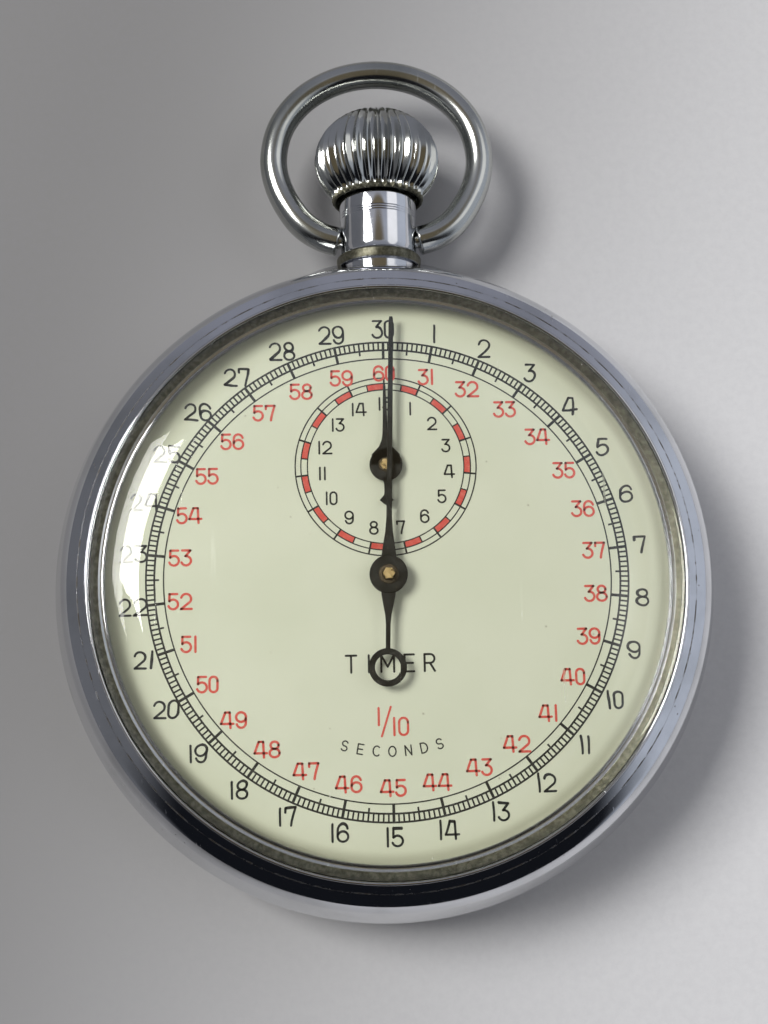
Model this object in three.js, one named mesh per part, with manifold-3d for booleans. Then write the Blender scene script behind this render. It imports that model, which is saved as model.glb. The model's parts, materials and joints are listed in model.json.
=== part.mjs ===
// Mechanical pocket stopwatch, 30 s per turn of the centre hand, 15 minute recorder, crown at 12.
// Millimetres. The origin is the centre of the flat case back, +Z is the dial normal and +Y runs
// from the dial centre to the crown. Sections: dimensions, shape tools, case, keyless works,
// going train, escapement, dial side, control levers, plates, screws.
import * as THREE from 'three';
import { mergeVertices } from 'three/addons/utils/BufferGeometryUtils.js';
import Module from 'manifold-3d';

const wasm = await Module();
wasm.setup();

// ---------------------------------------------------------------- driving dimensions
const CASE_R = 26;          // widest radius, at the equator
const EQUATOR_Z = 5.5;      // height of the equator above the back
const STEM_Z = 6;           // height of the stem, the pendant and the bow
const BACK_FLAT_R = 20;     // flat disc that the watch lies on
const SIDE_R = 5;           // rounding of the side at the equator
const SIDE_LEAN = 19.3;     // degrees that the side leans inwards above the equator
const SHOULDER_R = 2.2;     // rounding between the side and the bezel
const SHOULDER_CENTRE = [22.7, 9.66];
const SHOULDER_END = 75;    // degrees, where the shoulder meets the bezel
const LIP_R = 22.35;        // ridge of the bezel, where the crystal comes out
const LIP_Z = 12.3;
const BACK_SEAM_Z = 2.6;    // joint between back and band
const BEZEL_R = 23.2;       // outside of the bezel, which is let into the band
const BEZEL_BOTTOM_Z = 10.7;
const INNER_R = 22.2;       // inside radius of the band
const SNAP_R = 23.4;        // radius of the snap rebate for the back
const FIT = 0.05;           // play between parts that snap or lie together
const CUT = 0.3;            // play round a part that passes through another

const DIAL_R = 21.3;
const DIAL_Z = 11.2;        // printed face of the dial
const DIAL_THICK = 0.5;
const RECORDER_Y = 8.4;     // centre of the 15 minute recorder
const SECONDS_HAND_Z = 12.1;
const HAND_LEAN = 1.8;      // degrees past the zero mark at which the seconds hand rests
const MINUTE_HAND_Z = 11.65;
const CRYSTAL_TOP_Z = 15;

const PENDANT_R = 3.1;
const PENDANT_TOP_Y = 31.7;
const PENDANT_BORE_R = 2.0;
const SHANK_R = 2.4;        // lower end of the pendant, inside the band
const BOW_PIVOT_Y = 28.4;
const BOW_CENTRE_Y = 35.56; // widest part of the bow
const BOW_HALF_WIDTH = 8.55;
const BOW_RISE = 7.5;       // from the widest part to the top, on the centreline
const WIRE_R = 1.12;
const CROWN_R = 5.15;
const CROWN_HALF = 4.3;     // half length of the crown along the stem
const CROWN_CENTRE_Y = 35.3;
const FLUTES = 36;

const PLATE_R = 20.8;
const PLATE_Z = [7.8, 9.4];
const BRIDGE_Z = [2.4, 3.4];
const PIVOT_R = 0.3;
const HOLE_R = 0.42;

const ROUND = 36;           // facets of the large turned parts

// ---------------------------------------------------------------- shape tools
const TURN = Math.PI * 2;
const rad = THREE.MathUtils.degToRad;
const group = new THREE.Group();

function polar(centre, distance, bearing) {
  const angle = rad(bearing);
  return [centre[0] + distance * Math.cos(angle), centre[1] + distance * Math.sin(angle)];
}

// closed geometry -> manifold solid, without the triangles that shrink to nothing on an axis
function solid(geometry) {
  geometry.deleteAttribute('normal');
  geometry.deleteAttribute('uv');
  const merged = mergeVertices(geometry, 1e-4);
  const index = merged.index.array;
  const triangles = [];
  for (let i = 0; i < index.length; i += 3) {
    const [a, b, c] = [index[i], index[i + 1], index[i + 2]];
    if (a !== b && b !== c && c !== a) triangles.push(a, b, c);
  }
  return new wasm.Manifold(new wasm.Mesh({
    numProp: 3,
    vertProperties: new Float32Array(merged.attributes.position.array),
    triVerts: new Uint32Array(triangles),
  }));
}

function geometryOf(body) {
  const cut = body.getMesh();
  const geometry = new THREE.BufferGeometry();
  geometry.setAttribute('position', new THREE.BufferAttribute(new Float32Array(cut.vertProperties), 3));
  geometry.setIndex(new THREE.BufferAttribute(new Uint32Array(cut.triVerts), 1));
  return geometry;
}

const join = (...bodies) => bodies.reduce((sum, next) => sum.add(next));

// profile of [radius, height] points, counter-clockwise with the radius to the right; the loop is
// closed here unless both ends lie on the axis
function turned(profile, facets = ROUND) {
  const points = profile.map(([radius, height]) => new THREE.Vector2(radius, height));
  const onAxis = profile[0][0] === 0 && profile.at(-1)[0] === 0;
  if (!onAxis) points.push(points[0].clone());
  return new THREE.LatheGeometry(points, facets);
}

const aboutZ = (geometry) => geometry.rotateX(Math.PI / 2);
const onStemAxis = (geometry) => geometry.translate(0, 0, STEM_Z);
const turnedZ = (profile, facets) => solid(aboutZ(turned(profile, facets)));
const turnedY = (profile, facets) => solid(onStemAxis(turned(profile, facets)));

function slab(shape, [z0, z1], segments = 4) {
  const depth = z1 - z0;
  const options = { depth, bevelEnabled: false, curveSegments: segments, steps: 1 };
  return solid(new THREE.ExtrudeGeometry(shape, options).translate(0, 0, z0));
}

const outline = (points) => new THREE.Shape(points.map(([x, y]) => new THREE.Vector2(x, y)));

function circlePoints([x, y], radius, count, from = 0) {
  return Array.from({ length: count }, (_, i) => {
    const angle = from + (i / count) * TURN;
    return [x + radius * Math.cos(angle), y + radius * Math.sin(angle)];
  });
}

function post(centre, radius, heights, facets = 8) {
  return slab(outline(circlePoints(centre, radius, facets)), heights);
}

function washer(centre, outer, inner, heights, facets = 24) {
  return slab(ringShape(centre, outer, inner, facets), heights);
}

function ringShape(centre, outer, inner, facets) {
  const shape = outline(circlePoints(centre, outer, facets));
  shape.holes.push(outline(circlePoints(centre, inner, facets)));
  return shape;
}

// flat strip that follows a line of points, of one width or one width for each point
function strip(points, width) {
  const widths = Array.isArray(width) ? width : points.map(() => width);
  const sides = [[], []];
  points.forEach(([x, y], i) => {
    const [ax, ay] = points[Math.max(i - 1, 0)];
    const [bx, by] = points[Math.min(i + 1, points.length - 1)];
    const length = Math.hypot(bx - ax, by - ay);
    const nx = (-(by - ay) / length) * (widths[i] / 2);
    const ny = ((bx - ax) / length) * (widths[i] / 2);
    sides[0].push([x + nx, y + ny]);
    sides[1].unshift([x - nx, y - ny]);
  });
  return outline([...sides[0], ...sides[1]]);
}

function spiral(centre, fromR, toR, turns, stepsPerTurn, start) {
  const steps = Math.round(turns * stepsPerTurn);
  return Array.from({ length: steps + 1 }, (_, i) => {
    const radius = THREE.MathUtils.lerp(fromR, toR, i / steps);
    return polar(centre, radius, start + (i / stepsPerTurn) * 360);
  });
}

// pointed teeth: one point and one root for each, with a tooth at the bearing toothAt; lean moves
// the points round by that share of a tooth, for ratchets and for the escape wheel
function toothed(centre, teeth, tip, root, toothAt = 0, lean = 0) {
  const points = [];
  for (let i = 0; i < teeth; i += 1) {
    const step = 360 / teeth;
    points.push(polar(centre, tip, toothAt + (i + lean) * step));
    points.push(polar(centre, root, toothAt + (i + 0.5) * step));
  }
  return outline(points);
}

// openings between the arms of a wheel
function addCrossings(shape, centre, arms, inner, outer, armWidth) {
  for (let i = 0; i < arms; i += 1) {
    const middle = (i + 0.5) * (360 / arms);
    const half = 180 / arms;
    const innerHalf = half - THREE.MathUtils.radToDeg(armWidth / 2 / inner);
    const outerHalf = half - THREE.MathUtils.radToDeg(armWidth / 2 / outer);
    const points = [
      polar(centre, outer, middle - outerHalf),
      polar(centre, outer, middle),
      polar(centre, outer, middle + outerHalf),
      polar(centre, inner, middle + innerHalf),
      polar(centre, inner, middle - innerHalf),
    ];
    shape.holes.push(outline(points));
  }
  return shape;
}

const wheelRadii = (teeth, module) => ({
  tip: (teeth / 2 + 0.7) * module,
  root: (teeth / 2 - 1.3) * module,
});
const pinionRadii = (leaves, module) => ({
  tip: (leaves / 2 + 0.8) * module,
  root: (leaves / 2 - 1.15) * module,
});

function wheelShape(centre, teeth, module, toothAt) {
  const { tip, root } = wheelRadii(teeth, module);
  const shape = toothed(centre, teeth, tip, root, toothAt);
  return addCrossings(shape, centre, 3, root * 0.28, root * 0.8, root * 0.16);
}

function pinion(centre, leaves, module, toothAt, heights) {
  const { tip, root } = pinionRadii(leaves, module);
  return slab(toothed(centre, leaves, tip, root, toothAt), heights);
}

const finish = {
  chrome: { color: 0xb4b8be, roughness: 0.12, metalness: 1 },
  steel: { color: 0x9a9ea4, roughness: 0.3, metalness: 1 },
  brass: { color: 0xb59a55, roughness: 0.35, metalness: 1 },
  nickel: { color: 0xa9a79c, roughness: 0.4, metalness: 1 },
  blued: { color: 0x2a3a66, roughness: 0.3, metalness: 1 },
  crystal: { color: 0xf2f4ef, roughness: 0.05, metalness: 0, transparent: true, opacity: 0.25 },
  enamel: { color: 0xdcdfca, roughness: 0.5, metalness: 0 },
  black: { color: 0x161616, roughness: 0.45, metalness: 0.2 },
};

function add(name, body, look) {
  const mesh = new THREE.Mesh(geometryOf(body), new THREE.MeshStandardMaterial(finish[look]));
  mesh.name = name;
  group.add(mesh);
  return mesh;
}

// ---------------------------------------------------------------- case
// outside of the band, from the back seam up: part of an ellipse below the equator, a round side
// that leans inwards, and a tighter shoulder up to the bezel
const lowerArc = (angle) => [
  BACK_FLAT_R + (CASE_R - BACK_FLAT_R) * Math.cos(angle),
  EQUATOR_Z - EQUATOR_Z * Math.sin(angle),
];
const sideArc = (angle) => polar([CASE_R - SIDE_R, EQUATOR_Z], SIDE_R, angle);
const shoulderArc = (angle) => polar(SHOULDER_CENTRE, SHOULDER_R, angle);
const lowerSeam = Math.asin((EQUATOR_Z - BACK_SEAM_Z) / EQUATOR_Z);

function sweep(arc, from, to, steps) {
  return Array.from({ length: steps + 1 }, (_, i) => arc(THREE.MathUtils.lerp(from, to, i / steps)));
}

const backFloor = 1;
const caseBack = turnedZ([
  [0, 0],
  ...sweep(lowerArc, Math.PI / 2, lowerSeam, 3),
  [SNAP_R - FIT, BACK_SEAM_Z],
  [SNAP_R - FIT, BACK_SEAM_Z + 0.9],
  [INNER_R + 0.2, BACK_SEAM_Z + 0.9],
  [INNER_R - 0.4, 1.9],
  [20.6, backFloor],
  [0, backFloor],
]);
add('case_back', caseBack, 'chrome');

const bandTop = shoulderArc(SHOULDER_END)[1];
const bandRing = turnedZ([
  [lowerArc(lowerSeam)[0], BACK_SEAM_Z + FIT],
  lowerArc(lowerSeam * 0.5),
  ...sweep(sideArc, 0, SIDE_LEAN, 1),
  ...sweep(shoulderArc, SIDE_LEAN, SHOULDER_END, 3),
  [BEZEL_R + FIT, bandTop - 0.05],
  [BEZEL_R + FIT, BEZEL_BOTTOM_Z - FIT],
  [INNER_R, BEZEL_BOTTOM_Z - FIT],
  [INNER_R, BACK_SEAM_Z + 1],
  [SNAP_R, BACK_SEAM_Z + 1],
  [SNAP_R, BACK_SEAM_Z + FIT],
]);

// the foot is a flat-topped flare that widens from the pendant into the band
const footTopY = 26.05;
function footSection(halfWidth, halfHeight, y) {
  return circlePoints([0, 0], 1, 20).map(([x, z]) => [x * halfWidth, y, STEM_Z + z * halfHeight]);
}
function loft(sections) {
  const count = sections[0].length;
  const positions = sections.flat();
  const faces = [];
  for (let s = 0; s + 1 < sections.length; s += 1) {
    for (let i = 0; i < count; i += 1) {
      const a = s * count + i;
      const b = s * count + ((i + 1) % count);
      faces.push(a, a + count, b, b, a + count, b + count);
    }
  }
  const last = (sections.length - 1) * count;
  for (let i = 1; i + 1 < count; i += 1) {
    faces.push(0, i, i + 1);
    faces.push(last, last + i + 1, last + i);
  }
  const geometry = new THREE.BufferGeometry();
  geometry.setAttribute('position', new THREE.Float32BufferAttribute(positions.flat(), 3));
  geometry.setIndex(faces);
  return solid(geometry);
}
const foot = loft([
  footSection(7.4, 2.95, 23.5),
  footSection(6.0, 2.95, 25.3),
  footSection(3.9, 2.9, 25.8),
  footSection(2.9, 2.8, footTopY),
]);
const pendantHole = turnedY([[0, 18], [SHANK_R + CUT, 18], [SHANK_R + CUT, 28], [0, 28]], 24);
const insideOfBand = turnedZ([[0, 0], [INNER_R, 0], [INNER_R, bandTop], [0, bandTop]]);
const footOutside = foot.subtract(insideOfBand);
add('case_band', bandRing.add(footOutside).subtract(pendantHole), 'chrome');

const ledgeZ = DIAL_Z + FIT;  // underside of the bezel ledge, over the dial edge
const crystalSeatZ = 11.6;
const crystalR = LIP_R - 0.1;
const bezel = turnedZ([
  [BEZEL_R, BEZEL_BOTTOM_Z],
  [BEZEL_R, bandTop + 0.02],
  [LIP_R + 0.12, LIP_Z - 0.02],
  [LIP_R, LIP_Z],
  [crystalR + FIT, LIP_Z - 0.15],
  [crystalR + FIT, crystalSeatZ],
  [DIAL_R - 0.1, crystalSeatZ],
  [DIAL_R - 0.1, ledgeZ],
  [DIAL_R + 0.3, ledgeZ],
  [DIAL_R + 0.3, BEZEL_BOTTOM_Z],
]);
add('bezel', bezel, 'chrome');

const shoulderR = 20.6;
const shoulderZ = 13.55;
const crystalWall = 1;
const crystal = turnedZ([
  [crystalR, crystalSeatZ + FIT],
  [crystalR, LIP_Z + 0.15],
  [crystalR - 0.55, shoulderZ - 0.55],
  [shoulderR, shoulderZ],
  [shoulderR * 0.55, CRYSTAL_TOP_Z - 0.43],
  [0, CRYSTAL_TOP_Z],
  [0, CRYSTAL_TOP_Z - crystalWall],
  [shoulderR * 0.55, CRYSTAL_TOP_Z - 0.43 - crystalWall],
  [shoulderR - 0.4, shoulderZ - crystalWall],
  [crystalR - 1, LIP_Z - 0.3],
  [crystalR - 1, crystalSeatZ + FIT],
]);
add('crystal', crystal, 'crystal');

const collarY = 26.6;       // widest part of the bead at the foot of the pendant
const pendantTube = turnedY([
  [SHANK_R, 21.9],
  [SHANK_R, footTopY + 0.1],
  [PENDANT_R - 0.15, footTopY + 0.1],
  [PENDANT_R + 0.25, collarY],
  [PENDANT_R - 0.05, collarY + 0.75],
  [PENDANT_R + 0.08, PENDANT_TOP_Y - 0.2],
  [PENDANT_R - 0.15, PENDANT_TOP_Y],
  [PENDANT_BORE_R, PENDANT_TOP_Y],
  [PENDANT_BORE_R, 21.9],
], 24);
const pinR = 0.62;
const bowHoles = solid(
  aboutZ(turned([[0, -4], [pinR + 0.1, -4], [pinR + 0.1, 4], [0, 4]], 10))
    .rotateY(Math.PI / 2)
    .translate(0, BOW_PIVOT_Y, STEM_Z),
);
add('pendant', pendantTube.subtract(bowHoles), 'chrome');

// bow: an arc over the crown, and a corner and a short level end on each side
function bowLine() {
  const ends = [[PENDANT_R + 0.4, BOW_PIVOT_Y], [4.7, 28.85], [6.1, 29.8], [7.2, 31.2], [8.2, 33.3]];
  const arcSteps = 8;
  const arc = Array.from({ length: arcSteps + 1 }, (_, i) => {
    const [x, y] = polar([0, 0], 1, (i / arcSteps) * 180);
    return [BOW_HALF_WIDTH * x, BOW_CENTRE_Y + BOW_RISE * y];
  });
  const left = ends.map(([x, y]) => [-x, y]).reverse();
  const points = [...ends, ...arc, ...left].map(([x, y]) => new THREE.Vector3(x, y, STEM_Z));
  return new THREE.CatmullRomCurve3(points, false, 'centripetal');
}
const wireSection = outline(circlePoints([0, 0], WIRE_R, 8, Math.PI / 8));
const wire = new THREE.ExtrudeGeometry(wireSection, {
  steps: 24,
  bevelEnabled: false,
  extrudePath: bowLine(),
});
const pinLength = 1.1;
const bowPins = [-1, 1].map((side) => {
  const from = PENDANT_R + 0.3 - pinLength;
  const to = PENDANT_R + 1;
  const [low, high] = side > 0 ? [from, to] : [-to, -from];
  return solid(
    new THREE.CylinderGeometry(pinR, pinR, high - low, 8)
      .rotateZ(Math.PI / 2)
      .translate((low + high) / 2, BOW_PIVOT_Y, STEM_Z),
  );
});
add('bow', join(solid(wire), ...bowPins), 'chrome');

// crown: an oblate ball with flutes, hollow below so that its skirt goes over the pendant
const skirtR = PENDANT_R + 0.35;
const skirtY = PENDANT_TOP_Y + 0.25;
const stemR = 0.8;
function crownShape() {
  const rows = [-0.55, -0.15, 0.3, 0.7, 0.93].map((along) => [
    CROWN_R * Math.sqrt(1 - along ** 2),
    CROWN_CENTRE_Y + CROWN_HALF * along,
  ]);
  const geometry = turned([
    [0, skirtY],
    [skirtR + 0.25, skirtY],
    ...rows,
    [0, CROWN_CENTRE_Y + CROWN_HALF],
  ], FLUTES * 2);
  const position = geometry.attributes.position;
  for (let i = 0; i < position.count; i += 1) {
    const [x, y, z] = [position.getX(i), position.getY(i), position.getZ(i)];
    const radius = Math.hypot(x, z);
    const facet = Math.round((Math.atan2(z, x) / TURN) * FLUTES * 2);
    const outside = radius > skirtR + 0.3;
    const depth = outside && facet % 2 ? 0.055 : 0;
    position.setXYZ(i, x * (1 - depth), y, z * (1 - depth));
  }
  const hollow = turnedY([[0, skirtY - 1], [skirtR, skirtY - 1], [skirtR, CROWN_CENTRE_Y - 1.3],
    [0, CROWN_CENTRE_Y - 1.3]], 20);
  return solid(onStemAxis(geometry)).subtract(hollow);
}
add('crown', crownShape(), 'chrome');

// ---------------------------------------------------------------- keyless works
const PINION_Y = [17, 18.9];
const PINION_R = 1.6;
const PINION_LEAVES = 10;
const flangeY = [20.9, 21.5];
const flangeR = 3;
const sleeveR = PENDANT_BORE_R - 0.15;
const stemClear = 0.12;

const stem = turnedY([
  [0, PINION_Y[0] - 0.4],
  [stemR, PINION_Y[0] - 0.4],
  [stemR, CROWN_CENTRE_Y - 1.35],
  [0, CROWN_CENTRE_Y - 1.35],
], 12);
add('winding_stem', stem, 'steel');

const sleeve = turnedY([
  [stemR + stemClear, flangeY[0]],
  [flangeR, flangeY[0]],
  [flangeR, flangeY[1]],
  [sleeveR, flangeY[1]],
  [sleeveR, CROWN_CENTRE_Y - 1.6],
  [stemR + stemClear, CROWN_CENTRE_Y - 1.6],
], 16);
add('pusher_sleeve', sleeve, 'steel');

function windingPinion() {
  const star = toothed([0, 0], PINION_LEAVES, PINION_R, PINION_R - 0.45, 90);
  star.holes.push(outline(circlePoints([0, 0], stemR + stemClear, 12)));
  const depth = PINION_Y[1] - PINION_Y[0];
  const geometry = new THREE.ExtrudeGeometry(star, { depth, bevelEnabled: false })
    .rotateX(Math.PI / 2)
    .translate(0, PINION_Y[1], STEM_Z);
  return solid(geometry);
}
add('winding_pinion', windingPinion(), 'steel');

// plan of the going train: each arbor lies at its centre distance and bearing from the last
const CENTRE = [0, 0];
const RECORDER = [0, RECORDER_Y];
const TRAIN_MODULE = 0.26;
const FOURTH_MODULE = 0.14;
const BARREL_TEETH = 48;
const WHEEL_TEETH = 36;
const FOURTH_TEETH = 60;
const LEAVES = 6;
const SECOND_LEAVES = 8;
const spacing = (teeth, leaves, module) => ((teeth + leaves) / 2) * module;

const BEARING = { third: 232.8, second: 157.6, barrel: 95.5, escape: -36.8, pallet: -101, balance: -100 };
const THIRD = polar(CENTRE, spacing(WHEEL_TEETH, LEAVES, TRAIN_MODULE), BEARING.third);
const SECOND = polar(THIRD, spacing(WHEEL_TEETH, LEAVES, TRAIN_MODULE), BEARING.second);
const BARREL = polar(SECOND, spacing(BARREL_TEETH, SECOND_LEAVES, TRAIN_MODULE), BEARING.barrel);
const ESCAPE = polar(CENTRE, spacing(FOURTH_TEETH, LEAVES, FOURTH_MODULE), BEARING.escape);
const ESCAPE_TEETH = 15;
const ESCAPE_R = 2.9;
const PALLET = polar(ESCAPE, ESCAPE_R / Math.cos(rad(30)), BEARING.pallet);
const BALANCE = polar(PALLET, 4.6, BEARING.balance);
const BALANCE_R = 6;

// crown wheel on its stud, in mesh with the ratchet wheel on the barrel arbor
const CROWN_WHEEL = [0, 12.9];
const CROWN_WHEEL_TEETH = 24;
const RATCHET_TEETH = 28;
const WINDING_Z = [1.4, 2.2];
const crownToBarrel = Math.hypot(BARREL[0] - CROWN_WHEEL[0], BARREL[1] - CROWN_WHEEL[1]);
const windingModule = (2 * crownToBarrel) / (CROWN_WHEEL_TEETH + RATCHET_TEETH);
const barrelBearing = THREE.MathUtils.radToDeg(
  Math.atan2(BARREL[1] - CROWN_WHEEL[1], BARREL[0] - CROWN_WHEEL[0]),
);
const squareHalf = 0.75;    // half side of the square on the barrel arbor

function crownWheel() {
  const { tip, root } = wheelRadii(CROWN_WHEEL_TEETH, windingModule);
  const disc = toothed(CROWN_WHEEL, CROWN_WHEEL_TEETH, tip, root, barrelBearing);
  disc.holes.push(outline(circlePoints(CROWN_WHEEL, 1.1, 10)));
  const contrateTop = STEM_Z - PINION_R - 0.12;
  const contrate = washer(CROWN_WHEEL, 5.2, 4.4, [WINDING_Z[1] - 0.1, contrateTop], CROWN_WHEEL_TEETH);
  return join(slab(disc, WINDING_Z), contrate);
}
add('crown_wheel', crownWheel(), 'steel');

function ratchetWheel() {
  const { tip, root } = wheelRadii(RATCHET_TEETH, windingModule);
  const toothAt = barrelBearing + 180 + 180 / RATCHET_TEETH;
  const disc = toothed(BARREL, RATCHET_TEETH, tip, root, toothAt);
  const [x, y] = BARREL;
  const half = squareHalf + FIT;
  disc.holes.push(outline([[x - half, y - half], [x + half, y - half], [x + half, y + half], [x - half, y + half]]));
  return slab(disc, WINDING_Z);
}
add('ratchet_wheel', ratchetWheel(), 'steel');

const crownStud = join(
  post(CROWN_WHEEL, 1.6, [WINDING_Z[1] + 0.15, PLATE_Z[0]]),
  post(CROWN_WHEEL, 0.9, [WINDING_Z[0], WINDING_Z[1] + 0.3]),
);
add('crown_wheel_stud', crownStud, 'steel');

const CLICK_Z = [1.75, 2.25];
const ratchetTip = wheelRadii(RATCHET_TEETH, windingModule).tip;
const clickPivot = polar(BARREL, ratchetTip + 2.3, 214);
const clickNose = polar(BARREL, ratchetTip + 0.25, 233);
function click() {
  const arm = slab(strip([clickPivot, clickNose], [1.5, 0.5]), CLICK_Z);
  const hub = post(clickPivot, 1.15, CLICK_Z);
  return join(arm, hub).subtract(post(clickPivot, 0.6, [0, 3]));
}
add('click', click(), 'steel');
const clickSpringLine = [polar(BARREL, ratchetTip + 1.0, 243), polar(BARREL, ratchetTip + 2.1, 238),
  polar(BARREL, ratchetTip + 2.4, 230)];
const clickSpring = join(
  slab(strip(clickSpringLine, 0.35), [1.6, 2]),
  post(clickSpringLine[0], 0.7, [1.6, BRIDGE_Z[0] - FIT]),
);
add('click_spring', clickSpring, 'blued');

// ---------------------------------------------------------------- going barrel
const BARREL_Z = [3.7, 6.3];
const barrelWall = 5.7;
const barrelCavity = 5.2;
const barrelRoot = wheelRadii(BARREL_TEETH, TRAIN_MODULE).root;
const barrelTip = wheelRadii(BARREL_TEETH, TRAIN_MODULE).tip;
const arborR = 0.9;
const barrelFloor = 5.7;
function barrelDrum() {
  const teeth = toothed(BARREL, BARREL_TEETH, barrelTip, barrelRoot, BEARING.barrel + 180);
  teeth.holes.push(outline(circlePoints(BARREL, arborR + 0.1, 12)));
  const wall = washer(BARREL, barrelWall, barrelCavity, [BARREL_Z[0], barrelFloor + 0.1], 20);
  return join(slab(teeth, [barrelFloor, BARREL_Z[1]]), wall);
}
add('mainspring_barrel', barrelDrum(), 'brass');
add('barrel_cover', washer(BARREL, barrelCavity - FIT, arborR + 0.1, [BARREL_Z[0], 4.1], 20), 'brass');

function barrelArbor() {
  const [x, y] = BARREL;
  const half = squareHalf;
  const square = outline([[x - half, y - half], [x + half, y - half], [x + half, y + half], [x - half, y + half]]);
  return join(
    slab(square, [WINDING_Z[0] + 0.05, BRIDGE_Z[0]]),
    post(BARREL, arborR, [BRIDGE_Z[0] - 0.05, 4.2], 12),
    post(BARREL, arborR + 0.3, [4.15, 5.65], 12),
    post(BARREL, arborR, [5.6, PLATE_Z[0] + 0.9], 12),
  );
}
add('barrel_arbor', barrelArbor(), 'steel');
const springLine = spiral(BARREL, arborR + 0.75, barrelCavity - 0.35, 4, 12, 0);
add('mainspring', slab(strip(springLine, 0.22), [4.25, 5.55]), 'blued');

// ---------------------------------------------------------------- wheels and pinions
const SECOND_Z = [6.9, 7.3];
const THIRD_Z = [4.2, 4.5];
const FOURTH_Z = [5, 5.35];
const ESCAPE_Z = [6.2, 6.5];
const PIVOT_ENDS = [BRIDGE_Z[0] + 0.2, PLATE_Z[0] + 0.7];
const arbor = (centre, heights, radius = 0.45) => post(centre, radius, heights, 6);
const pivots = (centre) => arbor(centre, PIVOT_ENDS, PIVOT_R);
const halfTooth = (teeth) => 180 / teeth;

function secondWheel() {
  const wheel = slab(wheelShape(SECOND, WHEEL_TEETH, TRAIN_MODULE, BEARING.second + 180), SECOND_Z);
  const leaves = pinion(SECOND, SECOND_LEAVES, TRAIN_MODULE,
    BEARING.barrel + halfTooth(SECOND_LEAVES), [5.6, 6.95]);
  return join(wheel, leaves, arbor(SECOND, [BRIDGE_Z[1] + 0.1, PLATE_Z[0] - 0.1]), pivots(SECOND));
}
add('second_wheel', secondWheel(), 'brass');

function thirdWheel() {
  const wheel = slab(wheelShape(THIRD, WHEEL_TEETH, TRAIN_MODULE, BEARING.third + 180), THIRD_Z);
  const leaves = pinion(THIRD, LEAVES, TRAIN_MODULE, BEARING.second + halfTooth(LEAVES), [6.6, 7.5]);
  return join(wheel, leaves, arbor(THIRD, [BRIDGE_Z[1] + 0.1, PLATE_Z[0] - 0.1]), pivots(THIRD));
}
add('third_wheel', thirdWheel(), 'brass');

const centreArborTop = 13.1;
function fourthWheel() {
  const wheel = slab(wheelShape(CENTRE, FOURTH_TEETH, FOURTH_MODULE, BEARING.escape), FOURTH_Z);
  const leaves = pinion(CENTRE, LEAVES, TRAIN_MODULE, BEARING.third + halfTooth(LEAVES), [4.05, 4.7]);
  const finger = slab(strip([[0, 0], [-1.45, 0]], [0.9, 0.35]), [9.6, 9.9]);
  return join(
    wheel,
    leaves,
    arbor(CENTRE, [BRIDGE_Z[1] + 0.1, centreArborTop]),
    arbor(CENTRE, [BRIDGE_Z[0] + 0.2, 4], PIVOT_R),
    post(CENTRE, 0.8, [9.55, 9.95]),
    finger,
  );
}
add('fourth_wheel', fourthWheel(), 'brass');

// ---------------------------------------------------------------- escapement and balance
function escapeWheel() {
  const rim = toothed(ESCAPE, ESCAPE_TEETH, ESCAPE_R, 2.25, BEARING.pallet + 12, 0.3);
  addCrossings(rim, ESCAPE, 3, 0.7, 1.8, 0.4);
  const leaves = pinion(ESCAPE, LEAVES, FOURTH_MODULE,
    BEARING.escape + 180 + halfTooth(LEAVES), [4.85, 6.25]);
  return join(
    slab(rim, ESCAPE_Z),
    leaves,
    arbor(ESCAPE, [BRIDGE_Z[1] + 0.1, 4.9], 0.24),
    arbor(ESCAPE, [6.2, PLATE_Z[0] - 0.1], 0.4),
    arbor(ESCAPE, [PLATE_Z[0] - 0.2, PIVOT_ENDS[1]], 0.24),
    arbor(ESCAPE, [PIVOT_ENDS[0], BRIDGE_Z[1] + 0.2], 0.24),
  );
}
add('escape_wheel', escapeWheel(), 'steel');

const PALLET_COCK_Z = [5.55, 5.9];
function palletFork() {
  const towards = BEARING.balance;
  const tips = [-30, 30].map((side) => polar(ESCAPE, ESCAPE_R + 0.55, BEARING.pallet + side));
  const arms = slab(strip([tips[0], PALLET, tips[1]], [0.5, 0.8, 0.5]), ESCAPE_Z);
  const lever = slab(strip([PALLET, polar(PALLET, 2.9, towards), polar(PALLET, 3.55, towards)],
    [0.8, 0.45, 1]), ESCAPE_Z);
  return join(arms, lever, arbor(PALLET, [PALLET_COCK_Z[1] + 0.1, PLATE_Z[0] - 0.1], 0.35),
    arbor(PALLET, [PALLET_COCK_Z[0] + 0.1, PLATE_Z[0] + 0.5], 0.2));
}
add('pallet_fork', palletFork(), 'steel');

const BALANCE_Z = [4.6, 5.2];
const COCK_Z = [1.6, 2.4];
function balanceWheel() {
  const rim = ringShape(BALANCE, BALANCE_R, BALANCE_R - 0.8, 28);
  const arms = [0, 90].map((turn) => {
    const ends = [0, 180].map((side) => polar(BALANCE, BALANCE_R - 0.6, 35 + turn + side));
    return slab(strip(ends, 0.6), [4.75, 5.1]);
  });
  const jewel = post(polar(BALANCE, 0.62, BEARING.balance + 180), 0.14, [5.85, 6.6], 6);
  return join(
    slab(rim, BALANCE_Z),
    ...arms,
    post(BALANCE, 0.5, [3, 6]),
    post(BALANCE, 0.85, [5.7, 5.95]),
    jewel,
    arbor(BALANCE, [COCK_Z[0] + 0.1, PLATE_Z[0] + 0.7], 0.2),
  );
}
add('balance_wheel', balanceWheel(), 'brass');
const hairspringLine = spiral(BALANCE, 0.8, 2.9, 4, 12, 20);
add('hairspring', slab(strip(hairspringLine, 0.08), [3.2, 3.5]), 'blued');

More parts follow.
